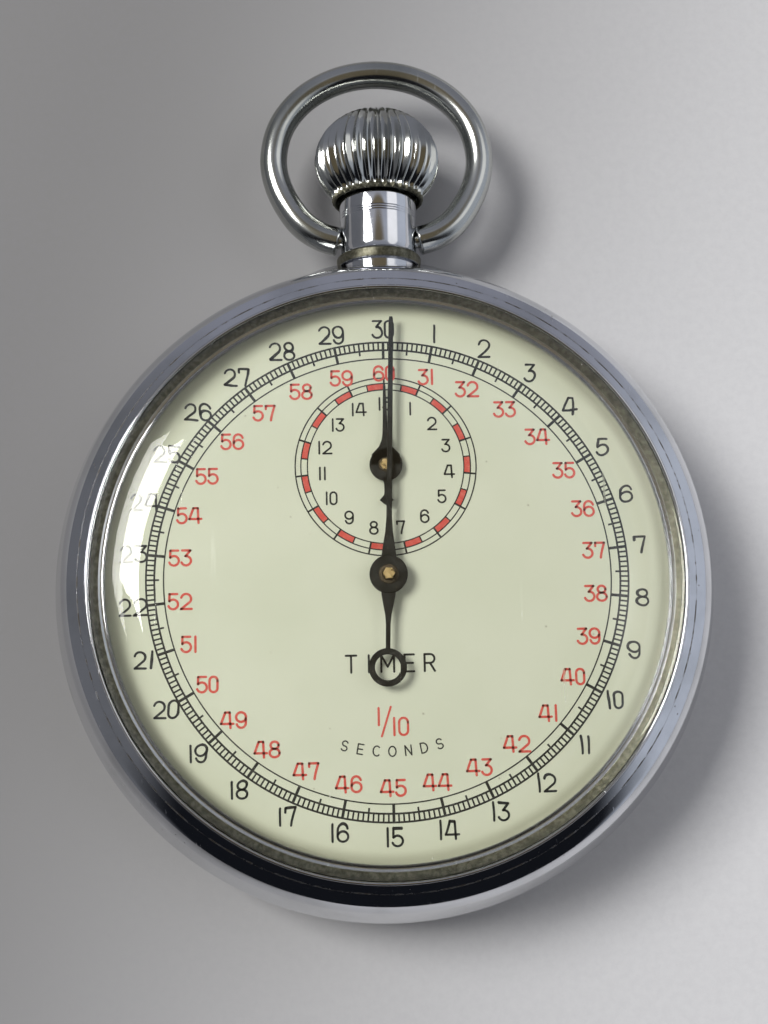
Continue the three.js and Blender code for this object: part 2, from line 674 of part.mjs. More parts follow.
// ---------------------------------------------------------------- dial side
const DRIVE_Z = [9.6, 9.9];
const HEART_Z = [10, 10.3];
const MINUTE_MODULE = 0.22;
const MINUTE_TEETH = 30;
const IDLER_TEETH = 15;
const minuteSpacing = ((MINUTE_TEETH + IDLER_TEETH) / 2) * MINUTE_MODULE;
const IDLER = [0, RECORDER_Y - minuteSpacing];
const tubeR = 0.45;

function heartCam(centre, smallR, largeR, bore) {
  const points = Array.from({ length: 16 }, (_, i) => {
    const turn = (i / 16) * 2 - 1;
    return polar(centre, THREE.MathUtils.lerp(smallR, largeR, Math.abs(turn)), 90 + turn * 180);
  });
  const shape = outline(points);
  shape.holes.push(outline(circlePoints(centre, bore, 8)));
  return slab(shape, HEART_Z);
}
add('seconds_heart_cam', heartCam(CENTRE, 0.85, 1.9, 0.5), 'steel');
add('minute_heart_cam', heartCam(RECORDER, 0.8, 1.6, 0.5), 'steel');

function minuteWheel() {
  const { tip, root } = wheelRadii(MINUTE_TEETH, MINUTE_MODULE);
  const rim = toothed(RECORDER, MINUTE_TEETH, tip, root, -90);
  addCrossings(rim, RECORDER, 3, 1, 2.4, 0.5);
  return join(slab(rim, DRIVE_Z), arbor(RECORDER, [8.3, 12.05]), post(RECORDER, 0.7, [9.5, 10]));
}
add('minute_wheel', minuteWheel(), 'brass');

function idlerWheel() {
  const { tip, root } = wheelRadii(IDLER_TEETH, MINUTE_MODULE);
  const rim = toothed(IDLER, IDLER_TEETH, tip, root, 90 + halfTooth(IDLER_TEETH));
  return join(slab(rim, DRIVE_Z), arbor(IDLER, [8.3, DRIVE_Z[1]], PIVOT_R));
}
add('intermediate_wheel', idlerWheel(), 'brass');

const minuteTip = wheelRadii(MINUTE_TEETH, MINUTE_MODULE).tip;
const jumperLine = [[-6.6, 4.2], [-5.9, 7.2], [-5.2, 9.6], polar(RECORDER, minuteTip + 0.2, 152)];
const minuteJumper = join(
  slab(strip(jumperLine, [0.7, 0.35, 0.3, 0.2]), DRIVE_Z),
  post(jumperLine[0], 0.9, [PLATE_Z[1] + FIT, DRIVE_Z[1]]),
);
add('minute_jumper', minuteJumper, 'blued');

const HAMMER_PIVOT = [8.6, 5.2];
function resetHammer() {
  const faces = [[2.35, -0.6], [2.45, 7.4]];
  const arms = faces.map((face) => slab(strip([HAMMER_PIVOT, face], [1.5, 1]), HEART_Z));
  const tail = slab(strip([HAMMER_PIVOT, [13.5, 6.4]], [1.6, 0.8]), HEART_Z);
  return join(...arms, tail, post(HAMMER_PIVOT, 1.4, HEART_Z, 12)).subtract(post(HAMMER_PIVOT, 0.6, [9, 11]));
}
add('reset_hammer', resetHammer(), 'steel');

// dial with its two feet
const dialZ = [DIAL_Z - DIAL_THICK, DIAL_Z];
const dialFeet = [polar(CENTRE, 17.5, 200), polar(CENTRE, 17.5, 20)];
function dialPlate() {
  const face = outline(circlePoints(CENTRE, DIAL_R, ROUND));
  face.holes.push(outline(circlePoints(CENTRE, 0.85, 12)));
  face.holes.push(outline(circlePoints(RECORDER, 0.75, 12)));
  const feet = dialFeet.map((place) => post(place, 0.5, [8.2, dialZ[0] + 0.1], 8));
  return join(slab(face, dialZ), ...feet);
}
add('dial', dialPlate(), 'enamel');

const hubR = 1.43;
const hubTopZ = SECONDS_HAND_Z + 0.35;
function secondsHand() {
  const flat = [SECONDS_HAND_Z, SECONDS_HAND_Z + 0.2];
  const wedge = strip([[0, 0], [0, 1.5], [0, 4.3], [0, 19.8]], [1.1, 1.1, 0.4, 0.36]);
  const tail = strip([[0, 0], [0, -1.5], [0, -3.7], [0, -5.6]], [1.09, 1.09, 0.36, 0.36]);
  const eye = ringShape([0, -6.9], hubR, 0.93, 20);
  const hub = post(CENTRE, hubR, [SECONDS_HAND_Z - 0.1, hubTopZ], 20);
  const hand = join(slab(wedge, flat), slab(tail, flat), slab(eye, flat), hub);
  return hand.subtract(post(CENTRE, tubeR + FIT, [12, 14], 8)).rotate([0, 0, -HAND_LEAN]);
}
add('seconds_hand', secondsHand(), 'black');

function minuteHand() {
  const flat = [MINUTE_HAND_Z, MINUTE_HAND_Z + 0.15];
  const y = RECORDER_Y;
  const blade = strip([[0, y], [0, y + 1.2], [0, y + 2.4], [0, y + 6.3]], [2.1, 1.7, 0.5, 0.22]);
  const tail = strip([[0, y], [0, y - 2.1], [0, y - 2.6], [0, y - 3.1]], [0.5, 0.35, 1, 0.15]);
  const hub = post(RECORDER, 1.25, flat, 16);
  const hand = join(slab(blade, flat), slab(tail, flat), hub);
  return hand.subtract(post(RECORDER, tubeR + FIT, [11, 13], 8));
}
add('minute_hand', minuteHand(), 'black');

// ---------------------------------------------------------------- start, stop and reset control
const COLUMN_WHEEL = [11.5, 7.2];
const COLUMN_TEETH = 18;
const columnTip = 3;
function columnWheel() {
  const ratchet = toothed(COLUMN_WHEEL, COLUMN_TEETH, columnTip, 2.5, 0, 0.3);
  const columns = Array.from({ length: 6 }, (_, i) => {
    const ends = [1.5, 2.35].map((radius) => polar(COLUMN_WHEEL, radius, i * 60));
    return slab(strip(ends, [0.5, 1]), [5, 6.95]);
  });
  const core = post(COLUMN_WHEEL, 1.6, [5, 6.95], 12);
  return join(slab(ratchet, [6.9, 7.5]), core, ...columns).subtract(post(COLUMN_WHEEL, 0.75, [4, 8]));
}
add('column_wheel', columnWheel(), 'steel');
const columnJumperLine = [[18.2, 2.6], [16.6, 4.4], polar(COLUMN_WHEEL, columnTip + 0.15, -30)];
const columnJumper = join(
  slab(strip(columnJumperLine, [0.9, 0.4, 0.25]), [6.9, 7.5]),
  post(columnJumperLine[0], 0.9, [6.9, PLATE_Z[0] - FIT]),
);
add('column_jumper', columnJumper, 'blued');

const LEVER_PIVOT = [12.2, 14.2];
const LEVER_Z = [5.4, 6.2];
function operatingLever() {
  const nose = slab(strip([LEVER_PIVOT, [6.6, 18.9], [2.5, 20.25]], [2, 1.2, 1]), LEVER_Z);
  const hook = slab(strip([LEVER_PIVOT, [15.4, 10.8], [15.4, 7.9], [14.75, 7.5]], [1.8, 0.9, 0.7, 0.5]),
    LEVER_Z);
  const hub = post(LEVER_PIVOT, 1.5, LEVER_Z, 12);
  return join(nose, hook, hub).subtract(post(LEVER_PIVOT, 0.75, [5, 7]));
}
add('operating_lever', operatingLever(), 'steel');
const leverSpringLine = [[17.9, 7.6], [17.4, 11.2], [14.4, 15.6], [9.4, 18.1]];
const leverSpring = join(
  slab(strip([leverSpringLine[0], leverSpringLine[1], [16.2, 12.6]], [0.8, 0.4, 0.3]), [6.9, 7.4]),
  post(leverSpringLine[0], 0.9, [6.9, PLATE_Z[0] - FIT]),
);
add('operating_lever_spring', leverSpring, 'blued');

const BRAKE_PIVOT = [12.6, -1.6];
function brakeLever() {
  const shoe = polar(BALANCE, BALANCE_R + 1.25, 18);
  const arm = slab(strip([BRAKE_PIVOT, [11.2, -5.6], shoe], [1.4, 0.8, 0.9]), [4.6, 5.2]);
  const tail = slab(strip([BRAKE_PIVOT, [12.2, 2.6]], [1.4, 0.8]), [4.6, 5.2]);
  const hub = post(BRAKE_PIVOT, 1.3, [4.6, 5.2], 12);
  return join(arm, tail, hub).subtract(post(BRAKE_PIVOT, 0.75, [4, 6]));
}
add('brake_lever', brakeLever(), 'steel');

// ---------------------------------------------------------------- plates, bridges and cocks
const bridgePillars = [[-15.3, -3.5], [-0.8, 5.5], [-6.9, -9.6], [8.2, -0.5]];
const bridgeEdge = [
  [9.8, -1], [7.2, -4], [3.4, -5], [-0.6, -6.3], [-5, -10.8], [-8.8, -11.2], [-13, -7.9],
  [-17, -4.6], [-17.4, -1], [-16.2, 5], [-13.6, 9.7], [-9, 10.7], [-4.6, 9.2], [-1.6, 7.1],
  [0.7, 6.6], [1.2, 4.5], [4.5, 2.4], [8.8, 1],
];
const screwShank = 0.55;
const screwHole = 0.7;
function trainBridge() {
  const shape = outline(bridgeEdge);
  for (const centre of [SECOND, THIRD, CENTRE, ESCAPE]) {
    shape.holes.push(outline(circlePoints(centre, HOLE_R, 8)));
  }
  shape.holes.push(outline(circlePoints(BARREL, arborR + 0.1, 12)));
  const pillars = bridgePillars.map((place) => post(place, 1, [BRIDGE_Z[1] - 0.1, PLATE_Z[0] - FIT]));
  const holes = bridgePillars.map((place) => post(place, screwHole, [2, 9], 8));
  return join(slab(shape, BRIDGE_Z), ...pillars).subtract(join(...holes))
    .subtract(post(clickPivot, screwHole, [2, 4], 8));
}
add('train_bridge', trainBridge(), 'nickel');

const cockFoot = polar(CENTRE, 18.2, -100);
function balanceCock() {
  const plate = slab(strip([cockFoot, polar(cockFoot, 3.5, 60), BALANCE], [4.6, 4, 2.6]), COCK_Z);
  const foot = slab(strip([polar(cockFoot, 1.1, -100), polar(cockFoot, 0.8, 80)], 3.6),
    [COCK_Z[1] - 0.1, PLATE_Z[0] - FIT]);
  return join(plate, post(BALANCE, 1.5, COCK_Z, 12), foot)
    .subtract(post(BALANCE, 0.35, [1, 3], 8))
    .subtract(post(cockFoot, screwHole, [1, 9], 8));
}
add('balance_cock', balanceCock(), 'nickel');

const REGULATOR_Z = [1.3, 1.55];
function regulator() {
  const ring = ringShape(BALANCE, 1.45, 0.8, 16);
  const pointer = strip([polar(BALANCE, 1.2, 20), polar(BALANCE, 5.4, 20)], [0.8, 0.25]);
  const pin = post(polar(BALANCE, 2.2, 20), 0.15, [1.4, 3.1], 6);
  return join(slab(ring, REGULATOR_Z), slab(pointer, REGULATOR_Z), pin);
}
add('regulator_arm', regulator(), 'blued');

const palletScrew = polar(PALLET, 2.9, -20);
function palletCock() {
  const bar = slab(strip([polar(PALLET, 0.9, 160), PALLET, palletScrew, polar(palletScrew, 0.8, -20)],
    [0.8, 1.3, 1.8, 1.4]), PALLET_COCK_Z);
  const foot = post(palletScrew, 0.95, [PALLET_COCK_Z[1] - 0.1, PLATE_Z[0] - FIT]);
  return join(bar, foot).subtract(post(PALLET, 0.3, [5, 6.1], 8))
    .subtract(post(palletScrew, screwHole, [5, 9], 8));
}
add('pallet_cock', palletCock(), 'nickel');

const holders = [polar(CENTRE, 20.2, 172), polar(CENTRE, 20.2, -12)];
function mainPlate() {
  const shape = outline(circlePoints(CENTRE, PLATE_R, ROUND));
  const holes = [
    ...[SECOND, THIRD, ESCAPE, PALLET, BALANCE, IDLER].map((centre) => [centre, HOLE_R]),
    [CENTRE, 0.6], [RECORDER, 0.6], [BARREL, arborR + 0.3], [HAMMER_PIVOT, screwHole],
    ...[...bridgePillars, cockFoot, palletScrew, COLUMN_WHEEL, LEVER_PIVOT, BRAKE_PIVOT, ...dialFeet]
      .map((centre) => [centre, screwHole]),
  ];
  for (const [centre, radius] of holes) shape.holes.push(outline(circlePoints(centre, radius, 6)));
  const notch = slab(outline([[-3.4, 19], [3.4, 19], [3.4, 22], [-3.4, 22]]), [7, 10]);
  const edges = holders.map((place) => post(place, screwHole, [7, 10], 8));
  return slab(shape, PLATE_Z).subtract(join(notch, ...edges));
}
add('main_plate', mainPlate(), 'nickel');

const ringZ = [7.4, dialZ[0] - 2 * FIT];
function movementRing() {
  const ring = washer(CENTRE, INNER_R - FIT, PLATE_R + FIT, ringZ, ROUND);
  const notch = slab(outline([[-3.4, 19], [3.4, 19], [3.4, 24], [-3.4, 24]]), [7, 11]);
  return ring.subtract(notch);
}
add('movement_ring', movementRing(), 'brass');

// ---------------------------------------------------------------- screws
// slotted screws with the head towards the case back, unless up is set
const HEAD_THICK = 0.3;
function screw([x, y], headZ, tipZ, headR, shankR = screwShank) {
  const headEnd = headZ + Math.sign(tipZ - headZ) * HEAD_THICK;
  const span = (a, b) => [Math.min(a, b), Math.max(a, b)];
  const head = post([x, y], headR, span(headZ, headEnd), 8);
  const shank = post([x, y], shankR, span(headEnd, tipZ), 6);
  const slotDepth = Math.sign(tipZ - headZ) * 0.15;
  const slot = outline([[x - headR, y - 0.15], [x + headR, y - 0.15], [x + headR, y + 0.15], [x - headR, y + 0.15]]);
  return join(head, shank).subtract(slab(slot, span(headZ - slotDepth, headZ + slotDepth)));
}
bridgePillars.forEach((place, i) => {
  add(`bridge_screw_${i + 1}`, screw(place, BRIDGE_Z[0] - 0.35, 9, 1), 'blued');
});
add('balance_cock_screw', screw(cockFoot, COCK_Z[0] - 0.35, 9, 1.2), 'blued');
add('pallet_cock_screw', screw(palletScrew, PALLET_COCK_Z[0] - 0.32, 9, 0.9), 'blued');
add('column_wheel_screw', screw(COLUMN_WHEEL, 4.65, 9, 1.2), 'blued');
add('operating_lever_screw', screw(LEVER_PIVOT, 5.05, 9, 1.2), 'blued');
add('brake_lever_screw', screw(BRAKE_PIVOT, 4.25, 9, 1.1), 'blued');
add('hammer_screw', screw(HAMMER_PIVOT, 10.65, 8, 1, 0.45), 'blued');
add('click_screw', screw(clickPivot, 1.4, 3.3, 0.9, 0.45), 'blued');
holders.forEach((place, i) => {
  add(`movement_screw_${i + 1}`, screw(place, 7.05, 9.2, 1.1), 'blued');
});

export default group;
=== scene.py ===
"""Looks and fine meshes of the mechanical stopwatch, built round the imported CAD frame.

Shapes are worked out in millimetres in the frame of the part (back at z 0, crown at +Y) and are
scaled to metres when a mesh is made. The CAD pieces that show are replaced by finer ones of the
same size, and every CAD node that stays gets a procedural finish.
Sections: dimensions, mesh tools, node tools, materials, case, crystal, pendant, bow and crown, dial
print, hands, carried-over nodes, floor, light, camera.
"""
import json
import math

import bmesh
import bpy
from mathutils import Matrix, Vector


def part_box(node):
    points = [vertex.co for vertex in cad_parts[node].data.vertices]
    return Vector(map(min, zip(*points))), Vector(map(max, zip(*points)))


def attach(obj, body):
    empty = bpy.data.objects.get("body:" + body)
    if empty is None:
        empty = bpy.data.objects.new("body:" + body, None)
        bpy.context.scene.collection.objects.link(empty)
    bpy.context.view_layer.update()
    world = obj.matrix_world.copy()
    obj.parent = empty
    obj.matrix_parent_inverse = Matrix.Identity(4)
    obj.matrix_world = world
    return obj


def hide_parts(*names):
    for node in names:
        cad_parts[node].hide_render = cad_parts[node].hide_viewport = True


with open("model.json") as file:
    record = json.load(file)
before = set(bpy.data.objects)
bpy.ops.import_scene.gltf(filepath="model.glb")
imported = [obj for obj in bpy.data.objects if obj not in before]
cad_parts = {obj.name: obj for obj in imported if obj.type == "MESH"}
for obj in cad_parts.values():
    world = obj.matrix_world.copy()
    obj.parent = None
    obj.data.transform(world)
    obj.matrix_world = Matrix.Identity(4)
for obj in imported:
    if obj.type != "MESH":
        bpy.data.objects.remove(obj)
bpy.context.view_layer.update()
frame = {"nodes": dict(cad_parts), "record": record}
scene = bpy.context.scene

# ---------------------------------------------------------------- dimensions, in millimetres
MM = 0.001
TURN = math.tau
CASE_R = 26.0
EQUATOR_Z = 5.5
STEM_Z = 6.0
BACK_FLAT_R = 20.0
BACK_SEAM_Z = 2.6
SIDE_R = 5.0
SIDE_LEAN = 19.3
SHOULDER_R = 2.2
SHOULDER_CENTRE = (22.7, 9.66)
SHOULDER_END = 58.0      # degrees, where the shoulder runs into the slope of the bezel
LIP_R = 22.35
LIP_Z = 12.3
BEZEL_R = 23.2
BEZEL_BOTTOM_Z = 10.7
INNER_R = 22.2
SNAP_R = 23.4
FIT = 0.05
DIAL_R = 21.3
DIAL_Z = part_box("dial")[1].z / MM
RECORDER_Y = 8.4
SECONDS_HAND_Z = 12.1
MINUTE_HAND_Z = 11.65
HAND_LEAN = 1.8          # degrees past zero at which the seconds hand rests
CRYSTAL_TOP_Z = 15.0
CRYSTAL_SEAT_Z = 11.65
CRYSTAL_R = LIP_R - 0.1
CRYSTAL_SHOULDER = (20.6, 13.55)
CRYSTAL_WALL = 1.0
DOME_R = 18.6            # where the shallow dome starts to bend down to the edge
PENDANT_R = 3.1
PENDANT_TOP_Y = 31.7
PENDANT_BORE_R = 2.0
FOOT_TOP_Y = 26.05
COLLAR_Y = (26.0, 26.85)
BOW_PIVOT_Y = 28.4
BOW_RADII = (8.55, 7.5)   # half width, and rise above the widest part, of the centreline
BOW_CENTRE_Y = 35.56
WIRE_R = 1.12
CROWN_R = 5.15
CROWN_HALF = 4.3
CROWN_CENTRE_Y = 35.3
FLUTES = 36
SKIRT_R = PENDANT_R + 0.35
SKIRT_Y = PENDANT_TOP_Y

ROUND = 384      # facets round the large turned parts
STEM_ROUND = 96  # facets round the pendant


# ---------------------------------------------------------------- mesh tools
def make_piece(name, shape, material, body, replaces=(), sharp=35):
    """A piece of the object from (points in mm, faces), shaded smooth up to the sharp angle."""
    points, faces = shape
    mesh = bpy.data.meshes.new(name)
    mesh.from_pydata([Vector(p) * MM for p in points], [], faces)
    cleaned = bmesh.new()
    cleaned.from_mesh(mesh)
    bmesh.ops.recalc_face_normals(cleaned, faces=cleaned.faces)
    cleaned.to_mesh(mesh)
    cleaned.free()
    mesh.polygons.foreach_set("use_smooth", [True] * len(mesh.polygons))
    mesh.set_sharp_from_angle(angle=math.radians(sharp))
    mesh.materials.append(material)
    piece = bpy.data.objects.new(name, mesh)
    scene.collection.objects.link(piece)
    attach(piece, body)
    if replaces:
        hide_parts(*replaces)
    return piece


def joined(*shapes):
    points, faces = [], []
    for more_points, more_faces in shapes:
        faces += [[i + len(points) for i in face] for face in more_faces]
        points += more_points
    return points, faces


def arc(centre, radii, start, end, steps=12):
    """Points on an elliptical arc, from one angle to the other in degrees."""
    found = []
    for i in range(steps + 1):
        angle = math.radians(start + (end - start) * i / steps)
        found.append((centre[0] + radii[0] * math.cos(angle), centre[1] + radii[1] * math.sin(angle)))
    return found


def filleted(corners, steps=4):
    """A profile of (radius, height) or (radius, height, fillet) corners, with those corners rounded."""
    points = []
    for i, corner in enumerate(corners):
        here = Vector(corner[:2])
        if len(corner) < 3:
            points.append(tuple(here))
            continue
        legs = [Vector(corners[(i + step) % len(corners)][:2]) - here for step in (-1, 1)]
        start, end = (here + leg.normalized() * min(corner[2], leg.length * 0.45) for leg in legs)
        for k in range(steps + 1):
            t = k / steps
            points.append(tuple(start * (1 - t) ** 2 + here * 2 * t * (1 - t) + end * t * t))
    return points


def about_z(radius, height, angle):
    return (radius * math.cos(angle), radius * math.sin(angle), height)


def about_stem(radius, height, angle):
    return (radius * math.cos(angle), height, STEM_Z + radius * math.sin(angle))


def about_bow_pivot(radius, height, angle):
    return (height, BOW_PIVOT_Y + radius * math.cos(angle), STEM_Z + radius * math.sin(angle))


def rings_to_faces(rings, closed):
    """Faces between neighbouring rings of point numbers; a ring of one point is a pole."""
    faces = []
    pairs = list(zip(rings, rings[1:]))
    if closed:
        pairs.append((rings[-1], rings[0]))
    for low, high in pairs:
        count = max(len(low), len(high))
        for i in range(count):
            j = (i + 1) % count
            loop = [low[i % len(low)], low[j % len(low)], high[j % len(high)], high[i % len(high)]]
            face = list(dict.fromkeys(loop))
            if len(face) > 2:
                faces.append(face)
    return faces


def lathe(profile, place=about_z, facets=ROUND):
    """A turned solid from (radius, height) points; the loop closes itself unless it starts on the axis."""
    points, rings = [], []
    for radius, height in profile:
        count = facets if radius > 1e-6 else 1
        rings.append(range(len(points), len(points) + count))
        points += [place(radius, height, TURN * i / facets) for i in range(count)]
    return points, rings_to_faces(rings, closed=profile[0][0] > 1e-6)


def ribbon(line, widths, heights):
    """A flat closed strip along a line of (x, y) points, of one width or one for each point."""
    if not isinstance(widths, (list, tuple)):
        widths = [widths] * len(line)
    low, high = heights
    points, rings = [], []
    for i, (x, y) in enumerate(line):
        before, after = Vector(line[max(i - 1, 0)]), Vector(line[min(i + 1, len(line) - 1)])
        along = (after - before).normalized()
        side = Vector((-along.y, along.x)) * widths[i] / 2
        rings.append(range(len(points), len(points) + 4))
        section = ((1, low), (1, high), (-1, high), (-1, low))
        points += [(x + s * side.x, y + s * side.y, z) for s, z in section]
    faces = rings_to_faces(rings, closed=False)
    faces.append(list(rings[0])[::-1])
    faces.append(list(rings[-1]))
    return points, faces


def pen_stroke(line, width, heights):
    """A ribbon with round ends, as a printed line has."""
    ends = [Vector(line[0]) - Vector(line[1]), Vector(line[-1]) - Vector(line[-2])]
    caps = [(math.sin(a), math.cos(a)) for a in (math.radians(d) for d in (30, 55, 80))]
    start = [tuple(Vector(line[0]) + ends[0].normalized() * width / 2 * s) for s, _ in caps][::-1]
    end = [tuple(Vector(line[-1]) + ends[1].normalized() * width / 2 * s) for s, _ in caps]
    narrow = [width * c for _, c in caps]
    return ribbon(start + list(line) + end, narrow[::-1] + [width] * len(line) + narrow, heights)


def flat_ring(centre, radius, width, heights, facets=240):
    profile = [(radius - width / 2, heights[0]), (radius + width / 2, heights[0]),
               (radius + width / 2, heights[1]), (radius - width / 2, heights[1])]
    points, faces = lathe(profile, about_z, facets)
    return [(x + centre[0], y + centre[1], z) for x, y, z in points], faces


def smoothstep(value, low, high):
    t = min(max((value - low) / (high - low), 0.0), 1.0)
    return t * t * (3 - 2 * t)


# ---------------------------------------------------------------- node tools
class Nodes:
    """Short names for the nodes of one material or world."""

    def __init__(self, owner):
        owner.use_nodes = True
        self.tree = owner.node_tree
        self.tree.nodes.clear()

    def add(self, kind, inputs=None, **settings):
        node = self.tree.nodes.new("ShaderNode" + kind)
        for key, value in settings.items():
            setattr(node, key, value)
        for key, value in (inputs or {}).items():
            if isinstance(value, bpy.types.NodeSocket):
                self.tree.links.new(value, node.inputs[key])
            else:
                node.inputs[key].default_value = value
        return node

    def math(self, operation, a, b=0.0, clamp=False):
        return self.add("Math", {0: a, 1: b}, operation=operation, use_clamp=clamp).outputs[0]

    def place(self, scale=(1, 1, 1), turn=(0, 0, 0)):
        """Object coordinates in millimetres, turned and stretched."""
        where = self.add("TexCoord").outputs["Object"]
        sizes = [s / MM for s in scale]
        angles = [math.radians(a) for a in turn]
        return self.add("Mapping", {"Vector": where, "Rotation": angles, "Scale": sizes}).outputs[0]

    def noise(self, scale, detail=3.0, rough=0.55, where=None):
        inputs = {"Vector": where or self.place(), "Scale": scale, "Detail": detail, "Roughness": rough}
        return self.add("TexNoise", inputs).outputs["Fac"]

    def spots(self, scale, where=None):
        inputs = {"Vector": where or self.place(), "Scale": scale}
        return self.add("TexVoronoi", inputs).outputs["Distance"]

    def between(self, value, low, high, to_low=0.0, to_high=1.0):
        inputs = {0: value, 1: low, 2: high, 3: to_low, 4: to_high}
        return self.add("MapRange", inputs, interpolation_type="SMOOTHSTEP").outputs[0]

    def mix(self, factor, a, b):
        """A colour between a and b."""
        node = self.add("Mix", data_type="RGBA")
        for socket, value in ((node.inputs[0], factor), (node.inputs[6], a), (node.inputs[7], b)):
            if isinstance(value, bpy.types.NodeSocket):
                self.tree.links.new(value, socket)
            elif isinstance(value, tuple):
                socket.default_value = (*value, 1.0)
            else:
                socket.default_value = value
        return node.outputs[2]

    def scratches(self, turns, scale=2.2, level=0.73):
        """Sparse hairlines, one set of stretched noise for each bearing."""
        total = None
        for i, turn in enumerate(turns):
            where = self.place(scale=(1.0, 0.035, 1.0), turn=(0, 0, turn))
            lines = self.noise(scale + 0.37 * i, 2.0, 0.5, where)
            thin = self.between(lines, level, level + 0.05)
            total = thin if total is None else self.math("MAXIMUM", total, thin)
        return total

    def radius(self):
        """Distance from the dial's axis, in millimetres."""
        where = self.add("VectorMath", {0: self.place(), 1: (1, 1, 0)}, operation="MULTIPLY")
        return self.add("VectorMath", {0: where.outputs[0]}, operation="LENGTH").outputs["Value"]

    def height(self):
        return self.add("SeparateXYZ", {0: self.place()}).outputs[2]

    def bump(self, height, strength, distance, below=None):
        inputs = {"Height": height, "Strength": strength, "Distance": distance * MM}
        if below:
            inputs["Normal"] = below
        return self.add("Bump", inputs).outputs[0]

    def surface(self, **sockets):
        """The material's Principled shader and its output."""
        inputs = {key.replace("_", " "): value for key, value in sockets.items()}
        shader = self.add("BsdfPrincipled", inputs).outputs[0]
        self.add("OutputMaterial", {"Surface": shader})
        return shader


def new_material(name):
    material = bpy.data.materials.new(name)
    return material, Nodes(material)


# ---------------------------------------------------------------- materials
CHROME = (0.66, 0.67, 0.70)
CHROME_HAZE = (0.55, 0.56, 0.58)
DULL_CHROME = ((0.46, 0.47, 0.455), (0.34, 0.35, 0.33))
GRIME = (0.075, 0.06, 0.04)
# Dull olive colours: grime and painted shade inside the bezel's lip, painted shade on the stem's collars.
GRIME_AND_SHADE_DARK = (0.065, 0.062, 0.043)
GRIME_AND_SHADE_PALE = (0.17, 0.165, 0.125)
GRIME_AND_SHADE_REACH = 0.84       # millimetres inwards from the lip


def chrome(name, seam=None, wear=1.0, smooth=0.07, inside=None, collar=None, tone=None):
    """Polished chrome plate with haze, hairlines, pits and grime, and painted shade where it is asked for.

    seam is the (radius, reach) of a dirty joint, inside is the radius from which a wall is darkened
    inwards with grime and painted shade, collar is the two heights along the stem between which a
    dull dark olive band of painted shade is laid, and tone is the pair of clean and hazy colours.
    """
    material, n = new_material(name)
    haze = n.between(n.noise(0.16, 4), 0.42, 0.68)
    fine = n.noise(2.4, 5, 0.7)
    lines = n.scratches((12, 71, 128, 163))
    pits = n.between(n.spots(1.15), 0.10, 0.04)
    pit_patches = n.between(n.noise(0.25, 2), 0.5, 0.62)
    pits = n.math("MULTIPLY", pits, pit_patches)
    colour = n.mix(haze, *(tone or (CHROME, CHROME_HAZE)))
    colour = n.mix(n.math("MULTIPLY", pits, 0.8 * wear), colour, GRIME)
    rough = n.math("MULTIPLY_ADD", haze, 0.05 * wear)
    rough.node.inputs[2].default_value = smooth
    rough = n.math("ADD", rough, n.math("MULTIPLY", lines, 0.16 * wear))
    rough = n.math("ADD", rough, n.math("MULTIPLY", pits, 0.3))
    if seam:
        centre, reach = seam
        off = n.math("ABSOLUTE", n.math("SUBTRACT", n.radius(), centre))
        high = n.between(n.height(), 10.6, 11.2)
        dirt = n.math("MULTIPLY", n.between(off, reach, reach * 0.25), high)
        patchy = n.between(n.noise(0.9, 4, 0.65), 0.40, 0.62)
        dirt = n.math("MULTIPLY", dirt, patchy)
        colour = n.mix(dirt, colour, GRIME)
        rough = n.math("ADD", rough, n.math("MULTIPLY", dirt, 0.5), clamp=True)
    grime_and_shade = None
    # Olive-brown band on the wall inside the lip: grime, and painted shade in the recess under the crystal's
    # edge.
    if inside:
        off = n.radius()
        grime_and_shade = n.math("MULTIPLY", n.between(off, inside, inside - 0.06),
                       n.between(off, inside - GRIME_AND_SHADE_REACH - 0.08, inside - GRIME_AND_SHADE_REACH))
    # Dull dark olive band round the stem: painted shade at the pendant's collar and at the crown's lower
    # rim.
    if collar:
        along = n.add("SeparateXYZ", {0: n.place()}).outputs[1]
        grime_and_shade = n.math("MULTIPLY", n.between(along, collar[0] - 0.05, collar[0] + 0.05),
                       n.between(along, collar[1] + 0.05, collar[1] - 0.05))
    if grime_and_shade:
        shade = n.mix(n.between(fine, 0.35, 0.7), GRIME_AND_SHADE_DARK, GRIME_AND_SHADE_PALE)
        colour = n.mix(grime_and_shade, colour, shade)
        rough = n.math("ADD", rough, n.math("MULTIPLY", grime_and_shade, 0.35), clamp=True)
    normal = n.bump(lines, 0.25 * wear, 0.01)
    normal = n.bump(fine, 0.05 * wear, 0.01, normal)
    normal = n.bump(pits, -0.4 * wear, 0.02, normal)
    n.surface(Base_Color=colour, Metallic=1.0, Roughness=rough, Normal=normal)
    return material


def metal(name, colour, shade, rough, grain=(1.0, 1.0, 1.0), grain_scale=3.0):
    """Satin or polished metal: slow colour change and a grain that may run one way."""
    material, n = new_material(name)
    slow = n.between(n.noise(0.35, 3), 0.35, 0.7)
    lines = n.noise(grain_scale, 3, 0.6, n.place(scale=grain))
    spread = n.between(lines, 0.3, 0.7, rough * 0.8, rough * 1.3)
    normal = n.bump(lines, 0.12, 0.01)
    n.surface(Base_Color=n.mix(slow, colour, shade), Metallic=1.0, Roughness=spread, Normal=normal)
    return material


